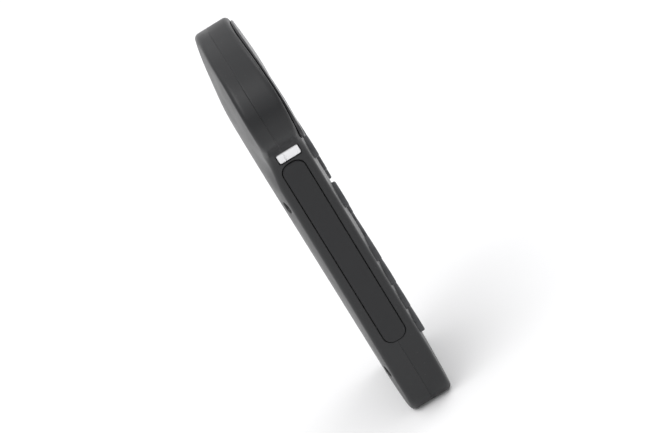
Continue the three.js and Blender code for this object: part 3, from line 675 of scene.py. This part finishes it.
def loft(name, rows, sharp=32, quiet=True):
    """Closed body through matching loops of (x, y, d) points, capped at both ends."""
    body = Body()
    for a, b in zip(rows, rows[1:]):
        body.strip(a, b)
    for r in (rows[0], rows[-1]):
        n = len(r)
        body.add(np.vstack([r, r.mean(0)[None]]), [(i, (i + 1) % n, n) for i in range(n)])
    return body.build(name, sharp=sharp, quiet=quiet)


def block(name, x0, x1, y0, y1, d0, d1, r=0.15):
    """A box with its edges rounded, in model mm."""
    me = bpy.data.meshes.new(name)
    bm = bmesh.new()
    bmesh.ops.create_cube(bm, size=1.0)
    for v in bm.verts:
        x, y, d = (x0 + x1) / 2 + v.co.x * (x1 - x0), (y0 + y1) / 2 + v.co.y * (y1 - y0), (d0 + d1) / 2 + v.co.z * (d1 - d0)
        v.co = (x * MM, (y - PAD_Y) * MM, (Z0 - d) * MM)
    bm.normal_update()
    if bm.calc_volume(signed=True) < 0:
        bmesh.ops.reverse_faces(bm, faces=bm.faces)
    bm.normal_update()
    if r:
        bmesh.ops.bevel(bm, geom=list(bm.edges), offset=r * MM, segments=3, profile=0.5, affect="EDGES")
    bm.to_mesh(me)
    bm.free()
    ob = bpy.data.objects.new(name, me)
    bpy.context.scene.collection.objects.link(ob)
    finish_mesh(ob)
    return ob


def turned(name, x, d, profile, n=40, sharp=28):
    """Body of revolution about the y axis through (x, d): profile of (radius, y)."""
    t = np.arange(n) * 2 * math.pi / n
    body = Body()
    rows = [np.column_stack([x + r * np.cos(t), np.full(n, y), d + r * np.sin(t)]) for r, y in profile if r > 0]
    for a, b in zip(rows, rows[1:]):
        body.strip(a, b)
    for row, (r, y) in ((rows[0], profile[0]), (rows[-1], profile[-1])):
        body.add(np.vstack([row, [[x, y, d]]]), [(i, (i + 1) % n, n) for i in range(n)])
    return body.build(name, sharp=sharp, quiet=True)


def ring_turned(name, x, d, profile, n=40):
    """Closed ring: the profile of (radius, y) is a closed section clear of the axis."""
    t = np.arange(n) * 2 * math.pi / n
    body = Body()
    rows = [np.column_stack([x + r * np.cos(t), np.full(n, y), d + r * np.sin(t)]) for r, y in profile]
    for a, b in zip(rows, rows[1:] + rows[:1]):
        body.strip(a, b)
    return body.build(name, quiet=True)


def on_surface(ob, top):
    """Moves a flat extruded curve, built at z = 0 in mm, on to a key's face."""
    for v in ob.data.vertices:
        x, d, h = v.co.x, v.co.y, v.co.z
        y = top(x, d) + (0.12 if h < 0 else -0.06)
        v.co = (x * MM, (y - PAD_Y) * MM, (Z0 - d) * MM)
    bm = bmesh.new()
    bm.from_mesh(ob.data)
    bmesh.ops.remove_doubles(bm, verts=bm.verts, dist=0.001 * MM)
    bm.normal_update()
    if bm.calc_volume(signed=True) < 0:
        bmesh.ops.reverse_faces(bm, faces=bm.faces)
    bm.to_mesh(ob.data)
    bm.free()


def curve_mesh(name, curve):
    ob = bpy.data.objects.new(name, curve)
    bpy.context.scene.collection.objects.link(ob)
    bpy.context.view_layer.update()
    me = bpy.data.meshes.new_from_object(ob.evaluated_get(bpy.context.evaluated_depsgraph_get()))
    bpy.data.objects.remove(ob)
    new = bpy.data.objects.new(name, me)
    bpy.context.scene.collection.objects.link(new)
    return new


def glyph(name, text, size, x, d):
    """A numeral, in mm, centred at (x, d)."""
    c = bpy.data.curves.new(name, "FONT")
    c.body = text
    c.size = size
    c.align_x, c.align_y = "CENTER", "CENTER"
    c.extrude = 0.5
    c.resolution_u = 4
    ob = curve_mesh(name, c)
    us = [v.co.x for v in ob.data.vertices]
    vs = [v.co.y for v in ob.data.vertices]
    mu, mv = (min(us) + max(us)) / 2, (min(vs) + max(vs)) / 2
    for v in ob.data.vertices:
        v.co = (x + v.co.x - mu, d - (v.co.y - mv), v.co.z)
    return ob


def icon(name, polys, x, d):
    """Filled outlines, in mm, centred at (x, d); v is up."""
    c = bpy.data.curves.new(name, "CURVE")
    c.dimensions = "2D"
    c.fill_mode = "BOTH"
    c.extrude = 0.5
    for pts in polys:
        s = c.splines.new("POLY")
        s.points.add(len(pts) - 1)
        for p, (u, v) in zip(s.points, pts):
            p.co = (u, v, 0, 1)
        s.use_cyclic_u = True
    ob = curve_mesh(name, c)
    for v in ob.data.vertices:
        v.co = (x + v.co.x, d - v.co.y, v.co.z)
    return ob


# ---------------------------------------------------------------- build the pieces
back_body = half_shell(False)
front_body = half_shell(True)
front_ob = front_body.build("v_front_shell")
back_ob = back_body.build("v_back_shell")

# openings for the two sockets, slightly flared at the mouth
for ob in (front_ob, back_ob):
    cutters = []
    for i, (x, y, w, h) in enumerate(PORTS):
        rows = []
        for dd, g in ((183.0, 0.0), (188.72, 0.0), (189.05, 0.28), (192.0, 0.28)):
            l = rrect(x, y, w + 2 * g, h + 2 * g, 0.4 + g, corner=4)
            rows.append(np.column_stack([l[:, 0], l[:, 1], np.full(len(l), dd)]))
        cutters.append(loft(f"port_{i}", rows))
    cut(ob, cutters)
    finish_mesh(ob)

# the back shell's locating lip, standing inside the front shell's wall
half = SIDE[SIDE[:, 1] <= 158.0]
left = half[1:][::-1].copy()
left[:, 0] *= -1
run = np.vstack([half[::-1], left[::-1]])
n_in = np.zeros_like(run)
d_run = np.gradient(run, axis=0)
d_run /= np.linalg.norm(d_run, axis=1)[:, None]
n_in[:, 0], n_in[:, 1] = d_run[:, 1], -d_run[:, 0]
if n_in[len(run) // 2, 1] < 0:
    n_in *= -1
section = [(2.2, 1.0), (2.85, 1.0), (2.85, -1.45), (3.0, -1.6), (3.55, -1.6), (3.7, -1.45), (3.7, 2.4), (2.2, 2.4)]
lip = Body()
rows = [np.array([[p[0] + n[0] * e, y, p[1] + n[1] * e] for p, n in zip(run, n_in)]) for e, y in section]
for a, b in zip(rows, rows[1:] + rows[:1]):
    lip.strip(a, b, close=False)
for k in (0, -1):
    lip.add(np.array([r[k] for r in rows]), [tuple(range(len(rows)))])
lip_ob = lip.build("lip", quiet=True)
extras = [back_ob, lip_ob]
for i, (x, d) in enumerate(CASE_SCREWS):
    ys = float(back_surface(x, d))
    extras.append(ring_turned(f"post_{i}", x, d, [(2.71, ys - 1.0), (2.71, 3.4), (1.4, 3.4), (1.4, 0.5), (3.6, 0.5), (3.6, ys - 1.0)]))
back_ob = join("v_back_shell", extras)
finish_mesh(back_ob)

pieces = {}
pieces["front_shell"] = front_ob
pieces["back_shell"] = back_ob
for tag, mir in (("right", False), ("left", True)):
    pieces["side_grip_" + tag] = side_pad(GRIP, mir).build("v_side_grip_" + tag)
    pieces["accent_strip_" + tag] = side_pad(TRIM, mir, crowned=True).build("v_accent_strip_" + tag)

ins = inset(LOOP, 2.6)[:len(SIDE)]
ins = ins[(SIDE[:, 1] <= 37.5)]
ins[0, 0] = 0
w0, d0 = ins[-1]
tail = np.array([[w0 * k, d0 + (49 - d0) * t] for k, t in ((0.97, 0.28), (0.9, 0.52), (0.78, 0.72), (0.62, 0.86), (0.42, 0.95))])
knots = np.vstack([ins[::8], tail, [[w0 * 0.2, 49.0]]])
F_SIDE = spline_side(knots, 0.9, np.array([[-knots[1, 0], knots[1, 1]]]), np.array([[0.0, 49.1]]))
F_SIDE[:, 1] = np.minimum(F_SIDE[:, 1], 49.0)
F_LOOP = closed(F_SIDE, 0.9)
f_rings = [(inset(F_LOOP, e), dr) for e, dr in fillet(0.5, 6)]
f_hole = list(zip(rrect_rings(WINDOW[0], WINDOW[1], WINDOW[2] + 3.6, WINDOW[3] + 3.6, 1.6, [0.0, 0.05, 0.14, 0.28]), [0.28, 0.13, 0.04, 0.0]))
f_rings += [(inset(F_LOOP, 0.9), 0.0), (inset(F_LOOP, 1.15), 0.0)]
pieces["fascia"] = plate(f_rings, [f_hole], fascia_surface, lambda x, d: front_surface(x, d) - 0.4, pad=(0.85, 0.37)).build("v_fascia")
w_rings = list(zip(rrect_rings(WINDOW[0], WINDOW[1], WINDOW[2] + 3.0, WINDOW[3] + 3.0, 1.3, [0.0, -0.04, -0.12, -0.22]), [0.2, 0.09, 0.03, 0.0]))
pieces["display_window"] = plate(w_rings, [], lambda x, d: np.full(np.shape(x), -12.08), lambda x, d: np.full(np.shape(x), -11.42)).build("v_display_window")


# ---------------------------------------------------------------- materials
def material(name):
    m = bpy.data.materials.new(name)
    m.use_nodes = True
    nt = m.node_tree
    return m, nt, nt.nodes["Principled BSDF"]


def link(nt, a, b):
    nt.links.new(a, b)


def noise(nt, scale, detail=2.0, rough=0.5, vector=None):
    n = nt.nodes.new("ShaderNodeTexNoise")
    n.inputs["Scale"].default_value = scale
    n.inputs["Detail"].default_value = detail
    n.inputs["Roughness"].default_value = rough
    if vector is None:
        vector = nt.nodes.new("ShaderNodeTexCoord").outputs["Object"]
    link(nt, vector, n.inputs["Vector"])
    return n.outputs["Fac"]


def remap(nt, value, a, b, c, d):
    m = nt.nodes.new("ShaderNodeMapRange")
    for k, v in zip(("From Min", "From Max", "To Min", "To Max"), (a, b, c, d)):
        m.inputs[k].default_value = v
    link(nt, value, m.inputs["Value"])
    return m.outputs["Result"]


def blend(nt, factor, a, b):
    m = nt.nodes.new("ShaderNodeMix")
    m.data_type = "RGBA"
    for sock, v in (("A", a), ("B", b)):
        if isinstance(v, tuple):
            m.inputs[sock].default_value = (*v, 1)
        else:
            link(nt, v, m.inputs[sock])
    link(nt, factor, m.inputs["Factor"])
    return m.outputs["Result"]


def scaled(c, k):
    return tuple(min(1.0, v * k) for v in c)


def moulded(name, base, rough, grain=2600.0, bump=0.12, mottled=0.06, spread=0.05, distance=0.00006, dust=0.0, sheen=0.0, spec=None):
    """Textured moulded plastic or rubber: fine grain, faint mottling, uneven gloss and a little dust."""
    m, nt, p = material(name)
    pos = nt.nodes.new("ShaderNodeTexCoord").outputs["Object"]
    fine = noise(nt, grain, 3.0, 0.6, pos)
    broad = noise(nt, 70.0, 4.0, 0.55, pos)
    col = blend(nt, remap(nt, broad, 0.3, 0.7, 0, 1), scaled(base, 1 - mottled), scaled(base, 1 + mottled))
    if dust:
        specks = noise(nt, 900.0, 2.0, 0.5, pos)
        col = blend(nt, remap(nt, specks, 0.70, 0.76, 0.0, dust), col, (0.35, 0.34, 0.32))
    link(nt, col, p.inputs["Base Color"])
    link(nt, remap(nt, broad, 0.3, 0.7, rough - spread, rough + spread), p.inputs["Roughness"])
    if bump:
        b = nt.nodes.new("ShaderNodeBump")
        b.inputs["Strength"].default_value = bump
        b.inputs["Distance"].default_value = distance
        link(nt, fine, b.inputs["Height"])
        link(nt, b.outputs["Normal"], p.inputs["Normal"])
    if sheen:
        p.inputs["Sheen Weight"].default_value = sheen
    if spec is not None:
        p.inputs["Specular IOR Level"].default_value = spec
    return m


def metal(name, base, rough, stretch=(40.0, 4000.0, 40.0)):
    m, nt, p = material(name)
    mp = nt.nodes.new("ShaderNodeMapping")
    mp.inputs["Scale"].default_value = stretch
    link(nt, nt.nodes.new("ShaderNodeTexCoord").outputs["Object"], mp.inputs["Vector"])
    n = noise(nt, 1.0, 3.0, 0.5, mp.outputs["Vector"])
    link(nt, blend(nt, n, scaled(base, 0.92), base), p.inputs["Base Color"])
    link(nt, remap(nt, n, 0, 1, rough - 0.06, rough + 0.06), p.inputs["Roughness"])
    p.inputs["Metallic"].default_value = 1.0
    return m


mat_front = moulded("case_front", (0.0135, 0.0139, 0.0150), 0.40, bump=0.30, dust=0.05, spec=0.36)
mat_back = moulded("case_back", (0.0140, 0.0144, 0.0155), 0.37, bump=0.30, dust=0.05, spec=0.38)
mat_grip = moulded("grip_rubber", (0.0125, 0.0128, 0.014), 0.56, grain=1700.0, bump=0.5, mottled=0.1, spec=0.36)
mat_key = moulded("key_rubber", (0.062, 0.064, 0.068), 0.52, grain=2000.0, bump=0.3)
mat_legend = moulded("key_legend", (0.72, 0.73, 0.74), 0.5, grain=2500.0, bump=0.1, mottled=0.02)
mat_gloss = moulded("fascia_gloss", (0.013, 0.013, 0.015), 0.31, grain=3000.0, bump=0.05, mottled=0.08, spread=0.03, spec=0.42)
# painted highlight: the strip's bright satin silver stands in for the highlight on the shoulder at the neck
mat_strip_highlight = metal("strip_satin_highlight", (0.78, 0.78, 0.79), 0.34)
mat_steel = metal("plated_steel", (0.62, 0.62, 0.63), 0.28)
mat_black_steel = metal("black_steel", (0.13, 0.13, 0.135), 0.36)
mat_gold = metal("contact_gold", (0.85, 0.62, 0.28), 0.25)
mat_plate = metal("plate_satin", (0.42, 0.43, 0.44), 0.38, (4000.0, 40.0, 40.0))
mat_frame = moulded("lcd_frame", (0.010, 0.010, 0.011), 0.4)
mat_diff = moulded("diffuser", (0.75, 0.72, 0.64), 0.5, bump=0.05)
mat_board = moulded("board", (0.015, 0.10, 0.045), 0.35, bump=0.1)
mat_chip = moulded("chip", (0.018, 0.018, 0.02), 0.42, bump=0.2)
mat_film = moulded("film", (0.45, 0.24, 0.06), 0.3, bump=0.05)
mat_silicone = moulded("silicone", (0.14, 0.14, 0.15), 0.6, bump=0.2)

mat_window, nt, p = material("window_clear")
p.inputs["Base Color"].default_value = (0.66, 0.70, 0.68, 1)
p.inputs["Transmission Weight"].default_value = 1.0
p.inputs["IOR"].default_value = 1.49
link(nt, remap(nt, noise(nt, 90.0, 3.0), 0.3, 0.7, 0.015, 0.05), p.inputs["Roughness"])

# display glass: two rows of faint character cells on a grey-green ground
mat_lcd, nt, p = material("lcd_cells")
tc = nt.nodes.new("ShaderNodeTexCoord")
sep = nt.nodes.new("ShaderNodeSeparateXYZ")
link(nt, tc.outputs["Object"], sep.inputs["Vector"])


def cells(axis, pitch, offset, fill):
    """1 inside the cells along one axis, 0 between them."""
    a = nt.nodes.new("ShaderNodeMath"); a.operation = "ADD"; a.inputs[1].default_value = offset
    link(nt, sep.outputs[axis], a.inputs[0])
    w = nt.nodes.new("ShaderNodeMath"); w.operation = "WRAP"; w.inputs[1].default_value = pitch; w.inputs[2].default_value = 0.0
    link(nt, a.outputs[0], w.inputs[0])
    c = nt.nodes.new("ShaderNodeMath"); c.operation = "LESS_THAN"; c.inputs[1].default_value = fill
    link(nt, w.outputs[0], c.inputs[0])
    return c.outputs[0]


def times(a, b):
    m = nt.nodes.new("ShaderNodeMath"); m.operation = "MULTIPLY"
    link(nt, a, m.inputs[0])
    link(nt, b, m.inputs[1])
    return m.outputs[0]


lcd_z = (Z0 - WINDOW[1]) * MM
mask = times(cells("X", 0.00325, 16 * 0.00325 / 2, 0.0027), cells("Z", 0.0062, -lcd_z + 0.0062, 0.0052))
dots = times(cells("X", 0.00054, 0.0, 0.00047), cells("Z", 0.00065, -lcd_z, 0.00057))
ground = blend(nt, noise(nt, 120.0, 3.0), (0.115, 0.135, 0.082), (0.135, 0.155, 0.095))
link(nt, blend(nt, times(mask, dots), ground, (0.088, 0.105, 0.066)), p.inputs["Base Color"])
link(nt, remap(nt, noise(nt, 90.0, 3.0), 0.3, 0.7, 0.10, 0.16), p.inputs["Roughness"])


def paint(ob, mat):
    if ob.data.materials:
        for i in range(len(ob.data.materials)):
            ob.material_slots[i].link = "OBJECT"
            ob.material_slots[i].material = mat
    else:
        ob.data.materials.append(mat)


def coat(ob, mat):
    """Gives a new piece one material."""
    ob.data.materials.clear()
    ob.data.materials.append(mat)
    return ob


# ---------------------------------------------------------------- keys with their legends
CHEVRON = [(-2.0, -0.9), (0.0, 0.7), (2.0, -0.9), (2.0, -0.15), (0.0, 1.45), (-2.0, -0.15)]
ICONS = {
    "up": [[(-2.1, -1.5), (2.1, -1.5), (0, 2.1)]],
    "down": [[(-2.1, 1.5), (0, -2.1), (2.1, 1.5)]],
    "left": [[(1.5, -2.1), (1.5, 2.1), (-2.1, 0)]],
    "right": [[(-1.5, -2.1), (2.1, 0), (-1.5, 2.1)]],
    "scroll_up": [[(u, v + 0.75) for u, v in CHEVRON], [(u, v - 1.1) for u, v in CHEVRON]],
    "scroll_down": [[(u, -v - 0.75) for u, v in CHEVRON][::-1], [(u, -v + 1.1) for u, v in CHEVRON][::-1]],
    "escape": [[(-2.6, 0), (-0.6, 1.7), (-0.6, 0.5), (2.6, 0.5), (2.6, -0.5), (-0.6, -0.5), (-0.6, -1.7)]],
    "setup": [[(-2.4, v - 0.3), (2.4, v - 0.3), (2.4, v + 0.3), (-2.4, v + 0.3)] for v in (-1.3, 0.0, 1.3)],
    "enter": [[(-2.2, 0.1), (-1.6, 0.75), (-0.5, -0.35), (1.8, 1.9), (2.4, 1.25), (-0.5, -1.6)]],
}


def key_face(key):
    _, form, x, d, w, h, r = key
    dish = 0.28 if form == "rect" else 0.45

    def top(px, pd):
        if form == "rect":
            k = 1 - max(abs(px - x) / (w / 2 - 0.75), abs(pd - d) / (h / 2 - 0.75))
        else:
            k = 1 - math.hypot(px - x, pd - d) / (r - 0.75)
        return -(KEY_TOP - dish * math.sin(min(1, max(0, k)) * math.pi / 2) ** 2)
    return top


for key in KEYS:
    name = key[0][4:]
    cap = coat(key_body(key).build("cap", quiet=True), mat_key)
    mark = icon("mark", ICONS[name], key[2], key[3]) if name in ICONS else glyph("mark", name, 5.6, key[2], key[3])
    on_surface(mark, key_face(key))
    coat(mark, mat_legend)
    pieces[key[0]] = join("v_" + key[0], [cap, mark])
    finish_mesh(pieces[key[0]])

# ---------------------------------------------------------------- case screws with a cross recess
for i, (x, d) in enumerate(CASE_SCREWS):
    prof = [(0.5, -6.8), (0.95, -6.2)]
    y = -6.1
    while y < 3.2:
        prof += [(0.80, y), (1.0, y + 0.2), (1.0, y + 0.28), (0.80, y + 0.48)]
        y += 0.62
    prof += [(0.85, 3.7), (2.3, 3.7), (2.35, 3.78), (2.35, 4.8), (2.2, 5.15), (1.85, 5.42), (1.3, 5.55), (0.6, 5.6)]
    ob = turned(f"v_case_screw_{i + 1}", x, d, prof, 32)
    turn = 0.35 + i * 0.9
    cutters = []
    for k in range(2):
        a = turn + k * math.pi / 2
        rows = []
        for yy, ln, wd in ((4.55, 0.75, 0.2), (5.1, 1.15, 0.26), (6.2, 1.25, 0.3)):
            q = np.array([[-ln, -wd], [ln, -wd], [ln, wd], [-ln, wd]])
            rows.append(np.column_stack([x + q[:, 0] * math.cos(a) - q[:, 1] * math.sin(a), np.full(4, yy),
                                         d + q[:, 0] * math.sin(a) + q[:, 1] * math.cos(a)]))
        cutters.append(loft("slot", rows))
    cut(ob, cutters)
    finish_mesh(ob, 28)
    pieces[f"case_screw_{i + 1}"] = coat(ob, mat_black_steel)

# ---------------------------------------------------------------- sockets in the bottom end
sx, sw, s0, s1 = -8.0, 13.0, 171.5, 188.3
sy0, sy1, oy = -2.8, 7.6, 2.5
ob = block("housing", sx - sw / 2, sx + sw / 2, sy0, sy1, s0, s1, 0.25)
mouth = []
for dd, g in ((175.8, 0.0), (187.9, 0.0), (188.35, 0.3), (190.0, 0.3)):
    l = rrect(sx, oy, 9.9 + 2 * g, 6.6 + 2 * g, 0.25, corner=2)
    mouth.append(np.column_stack([l[:, 0], l[:, 1], np.full(len(l), dd)]))
latch = []
for dd, g in ((179.3, 0.0), (187.9, 0.0), (188.35, 0.2), (190.0, 0.2)):
    l = rrect(sx, oy + 3.6, 4.2 + 2 * g, 2.0 + 2 * g, 0.2, corner=2)
    latch.append(np.column_stack([l[:, 0], l[:, 1], np.full(len(l), dd)]))
cut(ob, [loft("mouth", mouth), loft("latch", latch)])
finish_mesh(ob)
parts = [coat(ob, mat_chip)]
for i in range(8):
    px = sx + (i - 3.5) * 1.02
    rows = []
    for dd, yy in ((176.2, -0.45), (178.0, -0.55), (181.5, 0.35), (184.6, 0.05), (186.2, -0.62)):
        l = rrect(px, yy, 0.42, 0.3, 0.06, corner=2)
        rows.append(np.column_stack([l[:, 0], l[:, 1], np.full(len(l), dd)]))
    parts.append(coat(loft("contact", rows), mat_gold))
pieces["cable_socket"] = join("v_cable_socket", parts)

ob = block("housing", 9 - 3.9, 9 + 3.9, -2.8, 1.2, 178.8, 188.3, 0.5)
rows = []
for dd, g in ((180.9, 0.0), (188.0, 0.0), (188.35, 0.2), (190.0, 0.2)):
    l = rrect(9, -0.8, 6.8 + 2 * g, 3.0 + 2 * g, 0.5, corner=3)
    rows.append(np.column_stack([l[:, 0], l[:, 1], np.full(len(l), dd)]))
cut(ob, [loft("mouth", rows)])
finish_mesh(ob)
parts = [coat(ob, mat_steel), coat(block("tongue", 9 - 2.6, 9 + 2.6, -1.15, -0.45, 180.5, 187.0, 0.1), mat_chip)]
for i in range(5):
    px = 9 + (i - 2) * 0.95
    parts.append(coat(block("pad", px - 0.2, px + 0.2, -1.22, -1.1, 181.0, 186.6, 0.0), mat_gold))
pieces["data_socket"] = join("v_data_socket", parts)

# ---------------------------------------------------------------- rating plate: blank, with a pressed border
px, pd, pw, ph, pr = PLATE
rows = []
for g, y in ((0.0, 10.92), (0.0, 11.3), (-0.1, 11.38), (-0.9, 11.38), (-1.05, 11.24), (-1.45, 11.24), (-1.6, 11.38), (-4.0, 11.38)):
    l = rrect(px, pd, pw + 2 * g, ph + 2 * g, max(0.3, pr + g), corner=8)
    rows.append(np.column_stack([l[:, 0], np.full(len(l), y), l[:, 1]]))
pieces["rating_plate"] = coat(loft("v_rating_plate", rows), mat_plate)

for node, ob in pieces.items():
    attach(ob, node if node.startswith("key_") else "case")
    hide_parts(node)

SLOTS = {"front_shell": (mat_front, "front_case"), "back_shell": (mat_back, "back_case"), "fascia": (mat_gloss, "fascia"),
         "display_window": (mat_window, "window"), "side_grip_left": (mat_grip, "side_grip"), "side_grip_right": (mat_grip, "side_grip"),
         # the strip's silver is a painted highlight for the shoulder at the neck
         "accent_strip_left": (mat_strip_highlight, "accent"), "accent_strip_right": (mat_strip_highlight, "accent")}
for node, ob in pieces.items():
    if node in SLOTS:
        coat(ob, SLOTS[node][0])

for node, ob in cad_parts.items():
    if node in pieces:
        continue
    mat = mat_chip
    if "screw" in node or node == "crystal": mat = mat_steel
    elif node == "lcd_frame": mat = mat_frame
    elif node == "lcd_glass": mat = mat_lcd
    elif node in ("lcd_backlight", "ribbon_header"): mat = mat_diff
    elif node in ("lcd_board", "main_board"): mat = mat_board
    elif node == "display_ribbon": mat = mat_film
    elif node == "keypad_mat": mat = mat_silicone
    paint(ob, mat)

# ---------------------------------------------------------------- studio
FLOOR_Z = CAD_BOX[0][2] - 0.0002
floor_mesh = bpy.data.meshes.new("floor")
bm = bmesh.new()
bmesh.ops.create_grid(bm, x_segments=1, y_segments=1, size=30.0)
bm.to_mesh(floor_mesh); bm.free()
floor = bpy.data.objects.new("floor", floor_mesh)
floor.location = (0, 0, FLOOR_Z)
bpy.context.scene.collection.objects.link(floor)
mat_floor, nt, p = material("floor_pale")
link(nt, blend(nt, noise(nt, 3.0, 2.0), (0.89, 0.89, 0.89), (0.91, 0.91, 0.91)), p.inputs["Base Color"])
p.inputs["Roughness"].default_value = 0.9
p.inputs["Specular IOR Level"].default_value = 0.2
floor.data.materials.append(mat_floor)

bpy.context.scene.view_settings.view_transform = "Standard"
world = bpy.data.worlds.new("studio")
bpy.context.scene.world = world
world.use_nodes = True
wt = world.node_tree
bg = wt.nodes["Background"]
bg.inputs["Strength"].default_value = 1.0
ws = wt.nodes.new("ShaderNodeSeparateXYZ")
wt.links.new(wt.nodes.new("ShaderNodeTexCoord").outputs["Generated"], ws.inputs["Vector"])
sky = wt.nodes.new("ShaderNodeValToRGB")
sky.color_ramp.interpolation = "EASE"
sky.color_ramp.elements[0].position, sky.color_ramp.elements[0].color = 0.035, (1.02, 1.02, 1.02, 1)
sky.color_ramp.elements[1].position, sky.color_ramp.elements[1].color = 0.75, (1.15, 1.15, 1.16, 1)
low_sky = sky.color_ramp.elements.new(0.10)
low_sky.color = (0.42, 0.42, 0.425, 1)
wt.links.new(ws.outputs["Z"], sky.inputs["Fac"])
wt.links.new(sky.outputs["Color"], bg.inputs["Color"])


def area(name, loc, target, size, power, size_y=None):
    d = bpy.data.lights.new(name, "AREA")
    d.energy = power
    d.shape = "RECTANGLE"
    d.size = size
    d.size_y = size_y or size
    o = bpy.data.objects.new(name, d)
    o.location = loc
    o.rotation_mode = "QUATERNION"
    o.rotation_quaternion = (Vector(target) - Vector(loc)).to_track_quat("-Z", "Y")
    bpy.context.scene.collection.objects.link(o)
    return o


TARGET = Vector((0, -0.0125, 0.0355))
area("key_light", (-0.35, 0.35, 1.0), TARGET, 0.6, 3.2)
area("front_light", (0.5, -0.9, 0.8), TARGET, 0.7, 2.6)

# camera: seen from the user's left and above, a little from behind, with the controller leaning as it is held
BETA, ROLL = 0.0, 0.0
B = Vector((-0.885 * math.cos(BETA), math.sin(BETA), 0.4656 * math.cos(BETA))).normalized()
UP = (Vector((0, 0, 1)) - B * B.z).normalized()
F = B.cross(UP)
if F.y > 0:
    F = -F
ca, sa = 0.8521 * math.cos(ROLL) + 0.5234 * math.sin(ROLL), 0.5234 * math.cos(ROLL) - 0.8521 * math.sin(ROLL)
right = (-sa * UP + ca * F).normalized()
up = (ca * UP + sa * F).normalized()
cam_data = bpy.data.cameras.new("camera")
cam_data.lens = 150.0
cam_data.sensor_width = 36.0
cam_data.clip_start, cam_data.clip_end = 0.01, 50.0
cam = bpy.data.objects.new("camera", cam_data)
bpy.context.scene.collection.objects.link(cam)
co = np.vstack([np.array([v.co for v in o.data.vertices]) for n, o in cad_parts.items() if n in ("front_shell", "back_shell", "fascia")])
u_ = co @ np.array(right); v_ = co @ np.array(up)
cu, cv = (u_.min() + u_.max()) / 2, (v_.min() + v_.max()) / 2
centre = right * cu + up * cv + B * float(np.dot(np.array(B), co.mean(0)))
span_v = v_.max() - v_.min()
half_v = math.tan(math.atan(18.0 / cam_data.lens)) * 433 / 650
distance = (span_v / 2 * 1.1) / half_v
loc = centre + B * distance
cam.matrix_world = Matrix(((right.x, up.x, B.x, loc.x), (right.y, up.y, B.y, loc.y), (right.z, up.z, B.z, loc.z), (0, 0, 0, 1)))
bpy.context.scene.camera = cam
